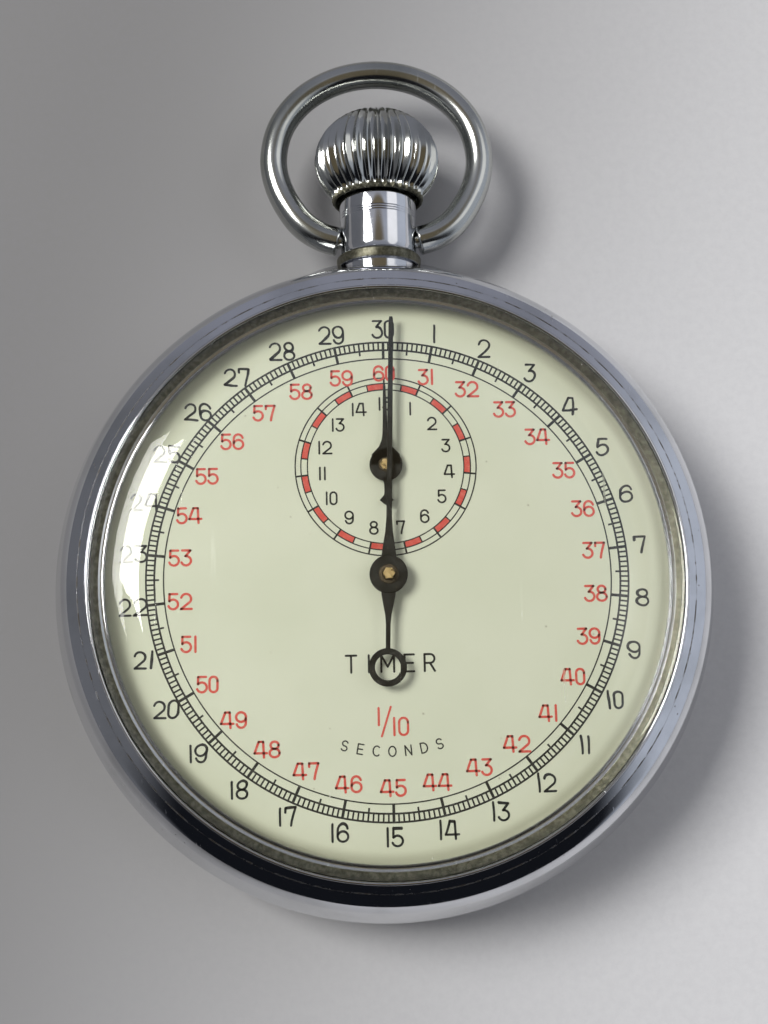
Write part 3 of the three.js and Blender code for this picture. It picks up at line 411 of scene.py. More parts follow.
def crystal_glass():
    """Clear domed acrylic. Light goes straight through to the dial, less of it at the thick edge."""
    material, n = new_material("acrylic_crystal")
    lines = n.scratches((22, 60, 97, 151), scale=1.3, level=0.745)
    haze = n.between(n.noise(0.5, 4), 0.45, 0.75, 0.015, 0.05)
    rough = n.math("ADD", haze, n.math("MULTIPLY", lines, 0.25))
    normal = n.bump(lines, 0.18, 0.01)
    glass = n.add("BsdfPrincipled", {
        "Base Color": (0.985, 0.99, 0.965, 1), "Roughness": rough, "IOR": 1.49,
        "Transmission Weight": 1.0, "Specular IOR Level": 0.14, "Normal": normal}).outputs[0]
    edge = n.between(n.radius(), 20.6, 21.4)
    passed = n.mix(edge, (0.95, 0.955, 0.93), (0.12, 0.12, 0.09))
    clear = n.add("BsdfTransparent", {"Color": passed}).outputs[0]
    path = n.add("LightPath").outputs
    straight = n.math("MAXIMUM", path["Is Shadow Ray"], path["Is Diffuse Ray"])
    mixed = n.add("MixShader", {0: straight, 1: glass, 2: clear}).outputs[0]
    n.add("OutputMaterial", {"Surface": mixed})
    return material


def dial_enamel():
    """Aged cream paint: faint clouds, a yellower rim, painted shade along the outer edge, small specks and a
    fine orange peel.
    """
    material, n = new_material("dial_enamel")
    clouds = n.between(n.noise(0.11, 4), 0.3, 0.7)
    rim = n.between(n.radius(), 17.5, 21.2)
    edge = n.between(n.radius(), 19.9, 20.9)
    colour = n.mix(clouds, (0.80, 0.82, 0.675), (0.745, 0.77, 0.62))
    colour = n.mix(n.math("MULTIPLY", rim, 0.3), colour, (0.62, 0.62, 0.44))
    # Painted shadow: a dark band along the dial's edge, where the bezel and the crystal's thick edge shade
    # it.
    colour = n.mix(n.math("MULTIPLY", edge, 0.55), colour, (0.30, 0.29, 0.20))
    specks = n.math("MULTIPLY", n.between(n.spots(0.62), 0.075, 0.03), n.between(n.noise(0.3, 2), 0.52, 0.6))
    colour = n.mix(n.math("MULTIPLY", specks, 0.5), colour, (0.32, 0.29, 0.18))
    peel = n.noise(3.0, 3)
    rough = n.between(clouds, 0.0, 1.0, 0.42, 0.52)
    n.surface(Base_Color=colour, Roughness=rough, Normal=n.bump(peel, 0.05, 0.02))
    return material


def ink(name, colour, faded):
    """Printed ink, a little uneven where it has rubbed thin."""
    material, n = new_material(name)
    uneven = n.between(n.noise(2.5, 4, 0.7), 0.42, 0.72)
    rough = n.between(uneven, 0.0, 1.0, 0.45, 0.6)
    n.surface(Base_Color=n.mix(uneven, colour, faded), Roughness=rough, Specular_IOR_Level=0.25)
    return material


def hand_paint():
    """Black paint on a brass blank, worn to the metal in a few specks."""
    material, n = new_material("hand_black_paint")
    worn = n.between(n.noise(4.5, 4, 0.7), 0.66, 0.72)
    uneven = n.between(n.noise(1.2, 3), 0.35, 0.7)
    colour = n.mix(uneven, (0.003, 0.0035, 0.003), (0.008, 0.008, 0.007))
    colour = n.mix(worn, colour, (0.16, 0.12, 0.07))
    rough = n.between(uneven, 0.0, 1.0, 0.35, 0.5)
    normal = n.bump(n.noise(6, 3), 0.15, 0.01)
    n.surface(Base_Color=colour, Metallic=n.math("MULTIPLY", worn, 0.8), Roughness=rough, Normal=normal,
              Specular_IOR_Level=0.25)
    return material


# Ends of the floor's painted light falloff: dark at the upper left, pale at the lower right.
FLOOR_PAINTED_SHADE = (0.235, 0.232, 0.232)
FLOOR_PAINTED_LIGHT = (0.80, 0.80, 0.815)


def table_paper():
    """Pale matt board with painted light: darker to the upper left, paler to the lower right."""
    material, n = new_material("floor_board")
    fibres = n.noise(1.4, 6, 0.7)
    clouds = n.between(n.noise(0.012, 3), 0.3, 0.7)
    across = n.add("SeparateXYZ", {0: n.place()}).outputs
    # Painted light falloff across the board, from dark at the upper left to pale at the lower right.
    slope = n.math("ADD", across[0], n.math("MULTIPLY", across[1], -0.30))
    tone = n.mix(n.between(slope, -40, 45), FLOOR_PAINTED_SHADE, FLOOR_PAINTED_LIGHT)
    tone = n.mix(n.math("MULTIPLY", clouds, 0.08), tone, (0.28, 0.275, 0.31))
    n.surface(Base_Color=n.mix(n.between(fibres, 0.3, 0.75, 0, 0.10), tone, (0.28, 0.275, 0.31)),
              Roughness=n.between(clouds, 0, 1, 0.75, 0.85), Normal=n.bump(fibres, 0.25, 0.05))
    return material


band_chrome = chrome("chrome_band", seam=(BEZEL_R + FIT, 0.04))
# The wall inside the bezel's lip gets grime and painted shade.
bezel_chrome = chrome("chrome_bezel", seam=(BEZEL_R, 0.05), inside=LIP_R)
# The pendant's collar and the crown's lower rim get a dull olive band of painted shade.
stem_chrome = chrome("chrome_pendant", wear=0.8, collar=COLLAR_Y)
bow_chrome = chrome("chrome_bow", wear=0.5, smooth=0.17, tone=DULL_CHROME)
crown_chrome = chrome("chrome_crown", wear=0.9, smooth=0.13, tone=DULL_CHROME,
                      collar=(SKIRT_Y - 1, SKIRT_Y + 0.45))
black_ink = ink("ink_black", (0.012, 0.013, 0.013), (0.05, 0.05, 0.046))
red_ink = ink("ink_red", (0.74, 0.10, 0.08), (0.76, 0.19, 0.15))
hand_black = hand_paint()
brass = metal("brass_satin", (0.72, 0.55, 0.28), (0.60, 0.44, 0.21), 0.28)
nickel = metal("nickel_brushed", (0.63, 0.61, 0.56), (0.53, 0.51, 0.46), 0.32, (1.0, 0.06, 1.0), 4.0)
steel = metal("steel_polished", (0.58, 0.58, 0.60), (0.45, 0.45, 0.47), 0.20, (1.0, 0.15, 1.0), 4.0)
bronze = metal("rivet_bronze", (0.085, 0.066, 0.045), (0.045, 0.036, 0.026), 0.55)
blued = metal("steel_blued", (0.045, 0.075, 0.26), (0.09, 0.06, 0.22), 0.22, (1.0, 0.3, 1.0), 4.0)
enamel = dial_enamel()
CARRIED_LOOKS = {"chrome_case": band_chrome, "dial": enamel, "hand_black": hand_black, "brass": brass,
                 "nickel_plate": nickel, "steel": steel, "blued_steel": blued}

# ---------------------------------------------------------------- case
lower_seam = math.degrees(math.asin((EQUATOR_Z - BACK_SEAM_Z) / EQUATOR_Z))
LOWER_RADII = (CASE_R - BACK_FLAT_R, -EQUATOR_Z)
LOWER_CENTRE = (BACK_FLAT_R, EQUATOR_Z)

back_outside = arc(LOWER_CENTRE, LOWER_RADII, 90, lower_seam + 0.6, 20)
back_profile = [(0, 0), *back_outside] + filleted([
    (back_outside[-1][0], BACK_SEAM_Z - 0.02, 0.06),
    (SNAP_R - FIT, BACK_SEAM_Z, 0.02),
    (SNAP_R - FIT, BACK_SEAM_Z + 0.9, 0.1),
    (INNER_R + 0.2, BACK_SEAM_Z + 0.9, 0.1),
    (INNER_R - 0.4, 1.9, 0.3),
    (20.6, 1.0, 0.3)]) + [(0, 1.0)]
make_piece("case_back_shell", lathe(back_profile), band_chrome, "case", ["case_back"])

shoulder = arc(SHOULDER_CENTRE, (SHOULDER_R, SHOULDER_R), SIDE_LEAN, SHOULDER_END, 20)
shoulder_drop = math.tan(math.radians(90 - SHOULDER_END - 2))


def slope_z(radius):
    """Height of the straight slope that runs on from the shoulder, over the bezel, to the lip."""
    return shoulder[-1][1] + (shoulder[-1][0] - radius) * shoulder_drop


band_profile = (
    [(SNAP_R, BACK_SEAM_Z + FIT)]
    + filleted([(SNAP_R, BACK_SEAM_Z + FIT),
                (arc(LOWER_CENTRE, LOWER_RADII, lower_seam, 0, 1)[0][0], BACK_SEAM_Z + FIT, 0.07),
                arc(LOWER_CENTRE, LOWER_RADII, lower_seam - 2, 0, 1)[0]])[1:]
    + arc(LOWER_CENTRE, LOWER_RADII, lower_seam - 4, 0, 14)
    + arc((CASE_R - SIDE_R, EQUATOR_Z), (SIDE_R, SIDE_R), 1.5, SIDE_LEAN, 10)
    + shoulder
    + filleted([shoulder[-1],
                (BEZEL_R + FIT, slope_z(BEZEL_R + FIT), 0.006),
                (BEZEL_R + FIT, BEZEL_BOTTOM_Z - FIT, 0.03),
                (INNER_R, BEZEL_BOTTOM_Z - FIT, 0.05),
                (INNER_R, BACK_SEAM_Z + 1),
                (SNAP_R, BACK_SEAM_Z + 1),
                (SNAP_R, BACK_SEAM_Z + FIT)])[1:-1])


def with_foot(point):
    """Draws the band out to a small flat-topped foot under the pendant."""
    x, y, z = point
    if y < 22.5 or math.hypot(x, y) < INNER_R + 1.1:
        return point
    across = 1 - smoothstep(abs(x), 2.3, 7.2)
    up = 1 - smoothstep(abs(z - STEM_Z), 1.9, 4.3)
    return (x, y + max(FOOT_TOP_Y - y, 0) * across * up, z)


band_points, band_faces = lathe(band_profile)
band_shape = ([with_foot(p) for p in band_points], band_faces)
make_piece("case_band_shell", band_shape, band_chrome, "case", ["case_band"])

BEAD_R = 0.13                        # fine bead round the crystal, at the top of the bezel's slope
BEAD = (LIP_R + BEAD_R, LIP_Z - BEAD_R)
bezel_profile = filleted([
    (BEZEL_R + FIT - 0.008, BEZEL_BOTTOM_Z, 0.05),
    (BEZEL_R + FIT - 0.008, slope_z(BEZEL_R + FIT - 0.008), 0.006),
    (BEAD[0] + BEAD_R, slope_z(BEAD[0] + BEAD_R)),
    *arc(BEAD, (BEAD_R, BEAD_R), 25, 175, 8),
    (CRYSTAL_R + FIT, CRYSTAL_SEAT_Z - FIT, 0.03),
    (DIAL_R - 0.1, CRYSTAL_SEAT_Z - FIT, 0.06),
    (DIAL_R - 0.1, DIAL_Z + FIT, 0.06),
    (DIAL_R + 0.3, DIAL_Z + FIT, 0.03),
    (DIAL_R + 0.3, BEZEL_BOTTOM_Z, 0.05)])
make_piece("bezel_ring", lathe(bezel_profile), bezel_chrome, "case", ["bezel"])

# ---------------------------------------------------------------- crystal
shoulder_r, shoulder_z = CRYSTAL_SHOULDER
dome_drop = (CRYSTAL_TOP_Z - shoulder_z) / shoulder_r ** 2


def dome(top, radius, steps=26):
    """Points of the shallow dome from its edge to the axis."""
    radii = [radius * (1 - i / steps) for i in range(steps + 1)]
    return [(r, top - dome_drop * r * r) for r in radii]


crystal_profile = (
    list(reversed(dome(CRYSTAL_TOP_Z - CRYSTAL_WALL, shoulder_r - 0.7)))
    + filleted([dome(CRYSTAL_TOP_Z - CRYSTAL_WALL, shoulder_r - 0.7)[0],
                (CRYSTAL_R - 1.15, 12.15, 0.8),
                (CRYSTAL_R - 1.05, CRYSTAL_SEAT_Z, 0.1),
                (CRYSTAL_R, CRYSTAL_SEAT_Z, 0.1),
                (CRYSTAL_R, LIP_Z + 0.05, 0.1),
                (CRYSTAL_R - 0.5, LIP_Z + 0.34, 0.5),
                (CRYSTAL_R - 2.4, LIP_Z + 1.17, 0.7),
                (*dome(CRYSTAL_TOP_Z, DOME_R)[0], 0.5),
                dome(CRYSTAL_TOP_Z, DOME_R - 0.7)[0]], 8)[1:-1]
    + dome(CRYSTAL_TOP_Z, DOME_R - 0.7))
make_piece("crystal_dome", lathe(crystal_profile), crystal_glass(), "case", ["crystal"], sharp=60)

# ---------------------------------------------------------------- pendant, bow and crown
TURNED_LINES = (30.05, 30.25, 30.45)   # fine tool lines near the pendant's mouth
tube_r = PENDANT_R + 0.06
pendant_corners = [
    (2.4, 21.9), (2.4, 25.0), (PENDANT_R - 0.12, 25.0, 0.04),
    (PENDANT_R - 0.06, COLLAR_Y[0] - 0.06, 0.05), (PENDANT_R + 0.3, COLLAR_Y[0], 0.08),
    (PENDANT_R + 0.37, COLLAR_Y[1] - 0.1, 0.1), (PENDANT_R + 0.03, COLLAR_Y[1] + 0.12, 0.1),
    (PENDANT_R, COLLAR_Y[1] + 0.5, 0.1)]
for line_y in TURNED_LINES:
    pendant_corners += [(tube_r, line_y - 0.05, 0.02),
                        (tube_r - 0.035, line_y, 0.02),
                        (tube_r, line_y + 0.05, 0.02)]
pendant_corners += [
    (tube_r + 0.02, PENDANT_TOP_Y - 0.12, 0.05), (PENDANT_R - 0.12, PENDANT_TOP_Y, 0.06),
    (PENDANT_BORE_R, PENDANT_TOP_Y, 0.06), (PENDANT_BORE_R, 21.9)]
pendant_shape = lathe(filleted(pendant_corners), about_stem, STEM_ROUND)
make_piece("pendant_tube", pendant_shape, stem_chrome, "case", ["pendant"])


def centripetal(points, steps):
    """Points of a centripetal Catmull-Rom curve through the given ones."""
    ends = [2 * points[0] - points[1], *points, 2 * points[-1] - points[-2]]
    found = []
    for p0, p1, p2, p3 in zip(ends, ends[1:], ends[2:], ends[3:]):
        t0 = 0.0
        t1 = t0 + (p1 - p0).length ** 0.5
        t2 = t1 + (p2 - p1).length ** 0.5
        t3 = t2 + (p3 - p2).length ** 0.5
        for i in range(steps):
            t = t1 + (t2 - t1) * i / steps
            a1 = p0 * (t1 - t) / (t1 - t0) + p1 * (t - t0) / (t1 - t0)
            a2 = p1 * (t2 - t) / (t2 - t1) + p2 * (t - t1) / (t2 - t1)
            a3 = p2 * (t3 - t) / (t3 - t2) + p3 * (t - t2) / (t3 - t2)
            b1 = a1 * (t2 - t) / (t2 - t0) + a2 * (t - t0) / (t2 - t0)
            b2 = a2 * (t3 - t) / (t3 - t1) + a3 * (t - t1) / (t3 - t1)
            found.append(b1 * (t2 - t) / (t2 - t1) + b2 * (t - t1) / (t2 - t1))
    return found + [points[-1]]


def bow_wire():
    """The bow's wire, a little thicker towards its two rounded ends."""
    ends = [(PENDANT_R + 0.25, BOW_PIVOT_Y), (4.7, 28.85), (6.1, 29.8), (7.2, 31.2), (8.2, 33.3)]
    right = [Vector(p) for p in ends]
    top = [Vector(p) for p in arc((0, BOW_CENTRE_Y), BOW_RADII, 0, 180, 8)]
    left = [Vector((-p.x, p.y)) for p in reversed(right)]
    line = centripetal(right + top + left, 14)
    sides = 32
    caps = [(0.06, 0.97), (0.11, 0.88), (0.13, 0.7)]
    path = [(p, WIRE_R * (1 + 0.06 * (1 - smoothstep(min(i, len(line) - 1 - i), 10, 70))))
            for i, p in enumerate(line)]
    first, last = (line[0] - line[1]).normalized(), (line[-1] - line[-2]).normalized()
    path = ([(line[0] + first * d, path[0][1] * s) for d, s in reversed(caps)] + path
            + [(line[-1] + last * d, path[-1][1] * s) for d, s in caps])
    points, rings = [], []
    for i, (centre, wire_r) in enumerate(path):
        along = (path[min(i + 1, len(path) - 1)][0] - path[max(i - 1, 0)][0]).normalized()
        rings.append(range(len(points), len(points) + sides))
        for k in range(sides):
            angle = TURN * k / sides
            out = wire_r * math.cos(angle)
            x = centre.x - along.y * out
            y = centre.y + along.x * out
            points.append((x, y, STEM_Z + wire_r * math.sin(angle)))
    faces = rings_to_faces(rings, closed=False)
    return points, faces + [list(rings[0])[::-1], list(rings[-1])]


def bow_pin(side):
    inner, outer = side * (PENDANT_R - 0.8), side * (PENDANT_R + 1)
    return lathe([(0, inner), (0.55, inner), (0.62, inner + side * 0.07), (0.62, outer), (0, outer)],
                 about_bow_pivot, 24)


bow_shape = joined(bow_wire(), bow_pin(-1), bow_pin(1))
make_piece("bow_ring", bow_shape, bow_chrome, "bow", ["bow"])

RIDGE_STEPS = 12
RIDGE_SOFT = 0.10      # rounding of the sharp ridges between the flutes
FLUTE_DEPTH = 0.082    # share of the local radius
END_R = 1.15           # plain end of the crown, inside the flutes
HOLLOW_Y = CROWN_CENTRE_Y - 1.3  # roof of the hollow that the pendant enters


def crown_ball():
    """An oblate fluted ball with a plain hollow skirt below and a small flat end on top."""
    low = (SKIRT_Y + 0.12 - CROWN_CENTRE_Y) / CROWN_HALF
    high = math.sqrt(1 - (END_R / CROWN_R) ** 2)
    rows = [(0, HOLLOW_Y, 0.0),
            (SKIRT_R, HOLLOW_Y, 0.0),
            (SKIRT_R, SKIRT_Y + 0.06, 0.0),
            (SKIRT_R + 0.05, SKIRT_Y, 0.0)]
    steps = 44
    for i in range(steps + 1):
        angle = math.asin(low) + (math.asin(high) - math.asin(low)) * i / steps
        share = smoothstep(i, -4, 2) * (1 - 0.25 * smoothstep(i, steps - 8, steps))
        radius = CROWN_R * math.cos(angle)
        if i < steps / 2:
            radius = max(radius, SKIRT_R + 0.32)
        rows.append((radius, CROWN_CENTRE_Y + CROWN_HALF * math.sin(angle), share))
    top = CROWN_CENTRE_Y + CROWN_HALF
    rows.insert(4, (rows[4][0] - 0.12, SKIRT_Y + 0.02, 0.0))
    rows += [(END_R * 0.86, rows[-1][1] - 0.05, 0.2),
             (END_R * 0.8, top - 0.12, 0.0),
             (END_R * 0.5, top, 0.0),
             (0, top, 0.0)]
    facets = FLUTES * RIDGE_STEPS
    points, rings = [], []
    for radius, height, share in rows:
        count = facets if radius else 1
        rings.append(range(len(points), len(points) + count))
        for k in range(count):
            angle = TURN * k / facets
            groove = math.hypot(math.sin(angle * FLUTES / 2), RIDGE_SOFT) - RIDGE_SOFT
            points.append(about_stem(radius * (1 - FLUTE_DEPTH * share * groove), height, angle))
    return points, rings_to_faces(rings, closed=False)


make_piece("crown_fluted", crown_ball(), crown_chrome, "crown_and_stem", ["crown"], sharp=50)

# ---------------------------------------------------------------- dial print
LINE_Z = (DIAL_Z - 0.005, DIAL_Z + 0.012)
TICK_Z = (DIAL_Z - 0.005, DIAL_Z + 0.010)
FIGURE_Z = (DIAL_Z - 0.005, DIAL_Z + 0.014)
TRACK = (18.11, 17.49, 16.80)        # outer, middle and inner circle of the seconds track
RECORDER_TRACK = (6.88, 6.45, 5.95)  # the same for the 15 minute recorder
TRACK_LINES = (0.14, 0.145, 0.10)    # line widths of those circles
RECORDER_LINES = (0.10, 0.09, 0.09)
SECONDS_FIGURES = (19.08, 1.2, 0.172)  # radius, height and pen width of the figures
RED_FIGURES = (15.65, 1.13, 0.18)
MINUTE_FIGURES = (4.85, 0.93, 0.14)
SECONDS = 30
TENTHS = 300
MINUTES = 15


def tick(centre, bearing, inner, outer, width, heights=TICK_Z):
    """A radial line; the bearing is clockwise from 12 o'clock, in degrees."""
    angle = math.radians(90 - bearing)
    ends = [(centre[0] + r * math.cos(angle), centre[1] + r * math.sin(angle)) for r in (inner, outer)]
    return ribbon(ends, width, heights)


# Figures and letters are pen lines in a box one unit high: (width, [lines]).
SIX = [arc((0.33, 0.68), (0.30, 0.32), 15, 180) + arc((0.34, 0.31), (0.32, 0.31), 180, 520, 20)]
OVAL = [arc((0.26, 0.74), (0.26, 0.26), 0, 180) + arc((0.26, 0.26), (0.26, 0.26), 180, 360) + [(0.52, 0.74)]]
GLYPHS = {
    "0": (0.52, OVAL),
    "1": (0.0, [[(0, 0), (0, 1)]]),
    "2": (0.72, [arc((0.35, 0.67), (0.33, 0.33), 165, -38) + [(0.02, 0.0)], [(0.02, 0), (0.72, 0)]]),
    "3": (0.62, [[(0.04, 1), (0.58, 1)], [(0.58, 1), (0.27, 0.62)],
                 arc((0.30, 0.31), (0.32, 0.31), 98, -160, 18)]),
    "4": (0.80, [[(0.27, 1), (0.56, 1)], [(0.27, 1), (0, 0.27)],
                 [(0, 0.27), (0.80, 0.27)], [(0.56, 1), (0.61, 0)]]),
    "5": (0.62, [[(0.06, 1), (0.57, 1)], [(0.06, 1), (0.05, 0.55)],
                 arc((0.30, 0.32), (0.32, 0.32), 138, -160, 18)]),
    "6": (0.66, SIX),
    "7": (0.62, [[(0.03, 0.78), (0.03, 1)], [(0.03, 1), (0.62, 1)],
                 [(0.62, 1), (0.50, 0.6), (0.41, 0.25), (0.37, 0)]]),
    "8": (0.64, [arc((0.32, 0.77), (0.26, 0.23), 0, 360, 24), arc((0.32, 0.27), (0.32, 0.27), 0, 360, 24)]),
    "9": (0.66, [[(0.66 - x, 1 - y) for x, y in SIX[0]]]),
    "T": (0.62, [[(0, 1), (0.62, 1)], [(0.31, 1), (0.31, 0)]]),
    "I": (0.0, [[(0, 0), (0, 1)]]),
    "M": (0.76, [[(0, 0), (0, 1)], [(0, 1), (0.38, 0.3)], [(0.38, 0.3), (0.76, 1)], [(0.76, 1), (0.76, 0)]]),
    "E": (0.56, [[(0, 0), (0, 1)], [(0, 1), (0.56, 1)], [(0, 0.5), (0.5, 0.5)], [(0, 0), (0.56, 0)]]),
    "R": (0.6, [[(0, 0), (0, 1)], [(0, 1)] + arc((0.34, 0.74), (0.25, 0.26), 90, -90) + [(0, 0.48)],
                [(0.32, 0.48), (0.6, 0)]]),
    "S": (0.58, [arc((0.29, 0.74), (0.28, 0.26), 25, 262) + arc((0.29, 0.25), (0.29, 0.25), 82, -155)]),
    "C": (0.66, [arc((0.37, 0.5), (0.37, 0.5), 48, 312, 18)]),
    "O": (0.74, [arc((0.37, 0.5), (0.37, 0.5), 0, 360, 24)]),
    "N": (0.62, [[(0, 0), (0, 1)], [(0, 1), (0.62, 0)], [(0.62, 0), (0.62, 1)]]),
    "D": (0.66, [[(0, 0), (0, 1)],
                 [(0, 1), (0.22, 1)] + arc((0.22, 0.5), (0.44, 0.5), 90, -90, 14) + [(0, 0)]]),
}
SIDE_GAP = 0.09
UPRIGHT_GAP = 0.20   # beside the 1 and the I
UPRIGHTS = "1I"


def lettering(text, centre, height, pen, turn=0.0, spacing=0.0):
    """Pen lines of a word or number centred on a point, its top turned anticlockwise in degrees."""
    spans, cursor = [], 0.0
    for letter in text:
        gap = UPRIGHT_GAP if letter in UPRIGHTS else SIDE_GAP
        width = GLYPHS[letter][0]
        spans.append(cursor + gap)
        cursor += width + 2 * gap + spacing
    middle = (cursor - spacing) / 2
    cosine, sine = math.cos(math.radians(turn)), math.sin(math.radians(turn))
    shapes = []
    for letter, start in zip(text, spans):
        for line in GLYPHS[letter][1]:
            placed = []
            for x, y in line:
                dx, dy = (x + start - middle) * height, (y - 0.5) * height
                placed.append((centre[0] + dx * cosine - dy * sine, centre[1] + dx * sine + dy * cosine))
            shapes.append(pen_stroke(placed, pen, FIGURE_Z))
    return shapes


def on_clock(centre, radius, share):
    """The point at that share of a turn, clockwise from 12 o'clock."""
    angle = TURN * (0.25 - share)
    return (centre[0] + radius * math.cos(angle), centre[1] + radius * math.sin(angle))


DIAL_CENTRE = (0.0, 0.0)
RECORDER = (0.0, RECORDER_Y)

outer, middle, inner = TRACK
track = [flat_ring(DIAL_CENTRE, r, w, LINE_Z, 360) for r, w in zip(TRACK, TRACK_LINES)]
for i in range(TENTHS):
    bearing = 360 * i / TENTHS
    if i % 10 == 0:
        track.append(tick(DIAL_CENTRE, bearing, inner, outer, 0.21))
    elif i % 5 == 0:
        track.append(tick(DIAL_CENTRE, bearing, middle - 0.36, outer, 0.14))
    else:
        track.append(tick(DIAL_CENTRE, bearing, middle, outer, 0.13))
make_piece("print_seconds_track", joined(*track), black_ink, "case")

outer, middle, inner = RECORDER_TRACK
recorder = [flat_ring(RECORDER, r, w, LINE_Z, 180) for r, w in zip(RECORDER_TRACK, RECORDER_LINES)]
for i in range(MINUTES * 2):
    bearing = 360 * i / (MINUTES * 2)
    whole = i % 2 == 0
    recorder.append(tick(RECORDER, bearing, inner, outer if whole else middle, 0.14 if whole else 0.10))
make_piece("print_recorder_track", joined(*recorder), black_ink, "case")

BLOCK_STEPS = 6
blocks = []
for i in range(MINUTES):
    points = [on_clock(RECORDER, (middle + inner) / 2, (i - 0.5 + 0.5 * k / BLOCK_STEPS) / MINUTES)
              for k in range(BLOCK_STEPS + 1)]
    blocks.append(ribbon(points, middle - inner, (DIAL_Z - 0.005, DIAL_Z + 0.006)))
make_piece("print_recorder_blocks", joined(*blocks), red_ink, "case")



def figure(number, centre, share, size):
    """A number at that share of a turn about a centre; size is (radius, height, pen width)."""
    radius, height, pen = size
    return lettering(str(number), on_clock(centre, radius, share), height, pen)


black_figures = []
red_figures = []
for second in range(1, SECONDS + 1):
    share = second / SECONDS
    black_figures += figure(second, DIAL_CENTRE, share, SECONDS_FIGURES)
    red_figures += figure(second + SECONDS, DIAL_CENTRE, share, RED_FIGURES)
make_piece("print_seconds_figures", joined(*black_figures), black_ink, "case")

minute_figures = []
for minute in range(1, MINUTES + 1):
    minute_figures += figure(minute, RECORDER, minute / MINUTES, MINUTE_FIGURES)
make_piece("print_minute_figures", joined(*minute_figures), black_ink, "case")

red_figures += lettering("1", (-0.95, -10.45), 1.25, 0.17)
red_figures += lettering("10", (0.62, -11.2), 1.25, 0.17)
red_figures.append(pen_stroke([(-0.75, -11.9), (-0.05, -9.75)], 0.15, FIGURE_Z))
make_piece("print_red_figures", joined(*red_figures), red_ink, "case")

words = lettering("TIMER", (0, -6.55), 1.25, 0.16, spacing=0.45)
CAPTION = "SECONDS"
CAPTION_R = 13.0
CAPTION_STEP = 5.2
for i, letter in enumerate(CAPTION):
    bearing = (i - (len(CAPTION) - 1) / 2) * CAPTION_STEP
    angle = math.radians(bearing - 90)
    place = (CAPTION_R * math.cos(angle), CAPTION_R * math.sin(angle))
    words += lettering(letter, place, 0.72, 0.10, turn=bearing)
make_piece("print_words", joined(*words), black_ink, "case")

# ---------------------------------------------------------------- hands
FACES = 64


def disc(centre, radius, heights, bevel=0.04, facets=FACES):
    low, high = heights
    profile = [(0, low), (radius, low), (radius, high - bevel), (radius - bevel, high), (0, high)]
    points, faces = lathe(profile, about_z, facets)
    return [(x + centre[0], y + centre[1], z) for x, y, z in points], faces


def ring(centre, outer_r, inner_r, heights, bevel=0.04, facets=FACES):
    low, high = heights
    profile = [(inner_r, low), (outer_r, low), (outer_r, high - bevel), (outer_r - bevel, high),
               (inner_r + bevel, high), (inner_r, high - bevel)]
    points, faces = lathe(profile, about_z, facets)
    return [(x + centre[0], y + centre[1], z) for x, y, z in points], faces


def leaned(shape, angle):
    """The shape turned clockwise about the dial's axis, in degrees."""
    points, faces = shape
    c, s = math.cos(math.radians(-angle)), math.sin(math.radians(-angle))
    return [(x * c - y * s, x * s + y * c, z) for x, y, z in points], faces


def blade(centre, outline, heights, bevel=0.035):
    """A straight hand part along y: outline is [(y offset, width)], with a bevelled upper edge."""
    low, high = heights
    points, rings = [], []
    for along, width in outline:
        half = width / 2
        top = max(half - bevel, half * 0.4)
        rings.append(range(len(points), len(points) + 6))
        section = [(half, low), (half, high - bevel), (top, high),
                   (-top, high), (-half, high - bevel), (-half, low)]
        points += [(centre[0] + x, centre[1] + along, z) for x, z in section]
    faces = rings_to_faces(rings, closed=False)
    return points, faces + [list(rings[0])[::-1], list(rings[-1])]


# Outlines of the hands: (distance from the hub along y, width)
SECONDS_BLADE = [(0, 1.1), (1.5, 1.08), (2.3, 0.86), (3.2, 0.58), (4.3, 0.42), (10, 0.39),
                 (19.5, 0.35), (19.8, 0.24)]
SECONDS_TAIL = [(0, 1.08), (-1.5, 1.06), (-2.2, 0.8), (-3.0, 0.48), (-3.7, 0.35), (-5.6, 0.34)]
MINUTE_BLADE = [(0, 2.3), (0.8, 2.12), (1.1, 1.55), (1.4, 1.0), (1.85, 0.62), (2.3, 0.45),
                (3.2, 0.36), (6.1, 0.2), (6.3, 0.14)]
MINUTE_TAIL = [(-1.0, 0.7), (-1.4, 0.36), (-2.1, 0.32), (-2.34, 0.4), (-2.72, 1.06), (-3.0, 0.4),
               (-3.1, 0.1)]

hand_z = (SECONDS_HAND_Z, SECONDS_HAND_Z + 0.2)
EYE = (0.0, -6.9)
seconds_hand = joined(
    blade(DIAL_CENTRE, SECONDS_BLADE, hand_z),
    blade(DIAL_CENTRE, SECONDS_TAIL, hand_z),
    ring(EYE, 1.41, 0.95, hand_z),
    disc(DIAL_CENTRE, 1.43, (SECONDS_HAND_Z - 0.1, SECONDS_HAND_Z + 0.3), 0.06))
make_piece("seconds_hand_blade", leaned(seconds_hand, HAND_LEAN), hand_black, "seconds_work",
           ["seconds_hand"], sharp=28)
rivet = joined(
    ring(DIAL_CENTRE, 0.76, 0.42, (SECONDS_HAND_Z, SECONDS_HAND_Z + 0.36), 0.08),
    disc(DIAL_CENTRE, 0.42, (SECONDS_HAND_Z, SECONDS_HAND_Z + 0.33), 0.03),
    disc(DIAL_CENTRE, 0.17, (SECONDS_HAND_Z, SECONDS_HAND_Z + 0.45), 0.08))
make_piece("seconds_hand_rivet", rivet, bronze, "seconds_work", sharp=28)

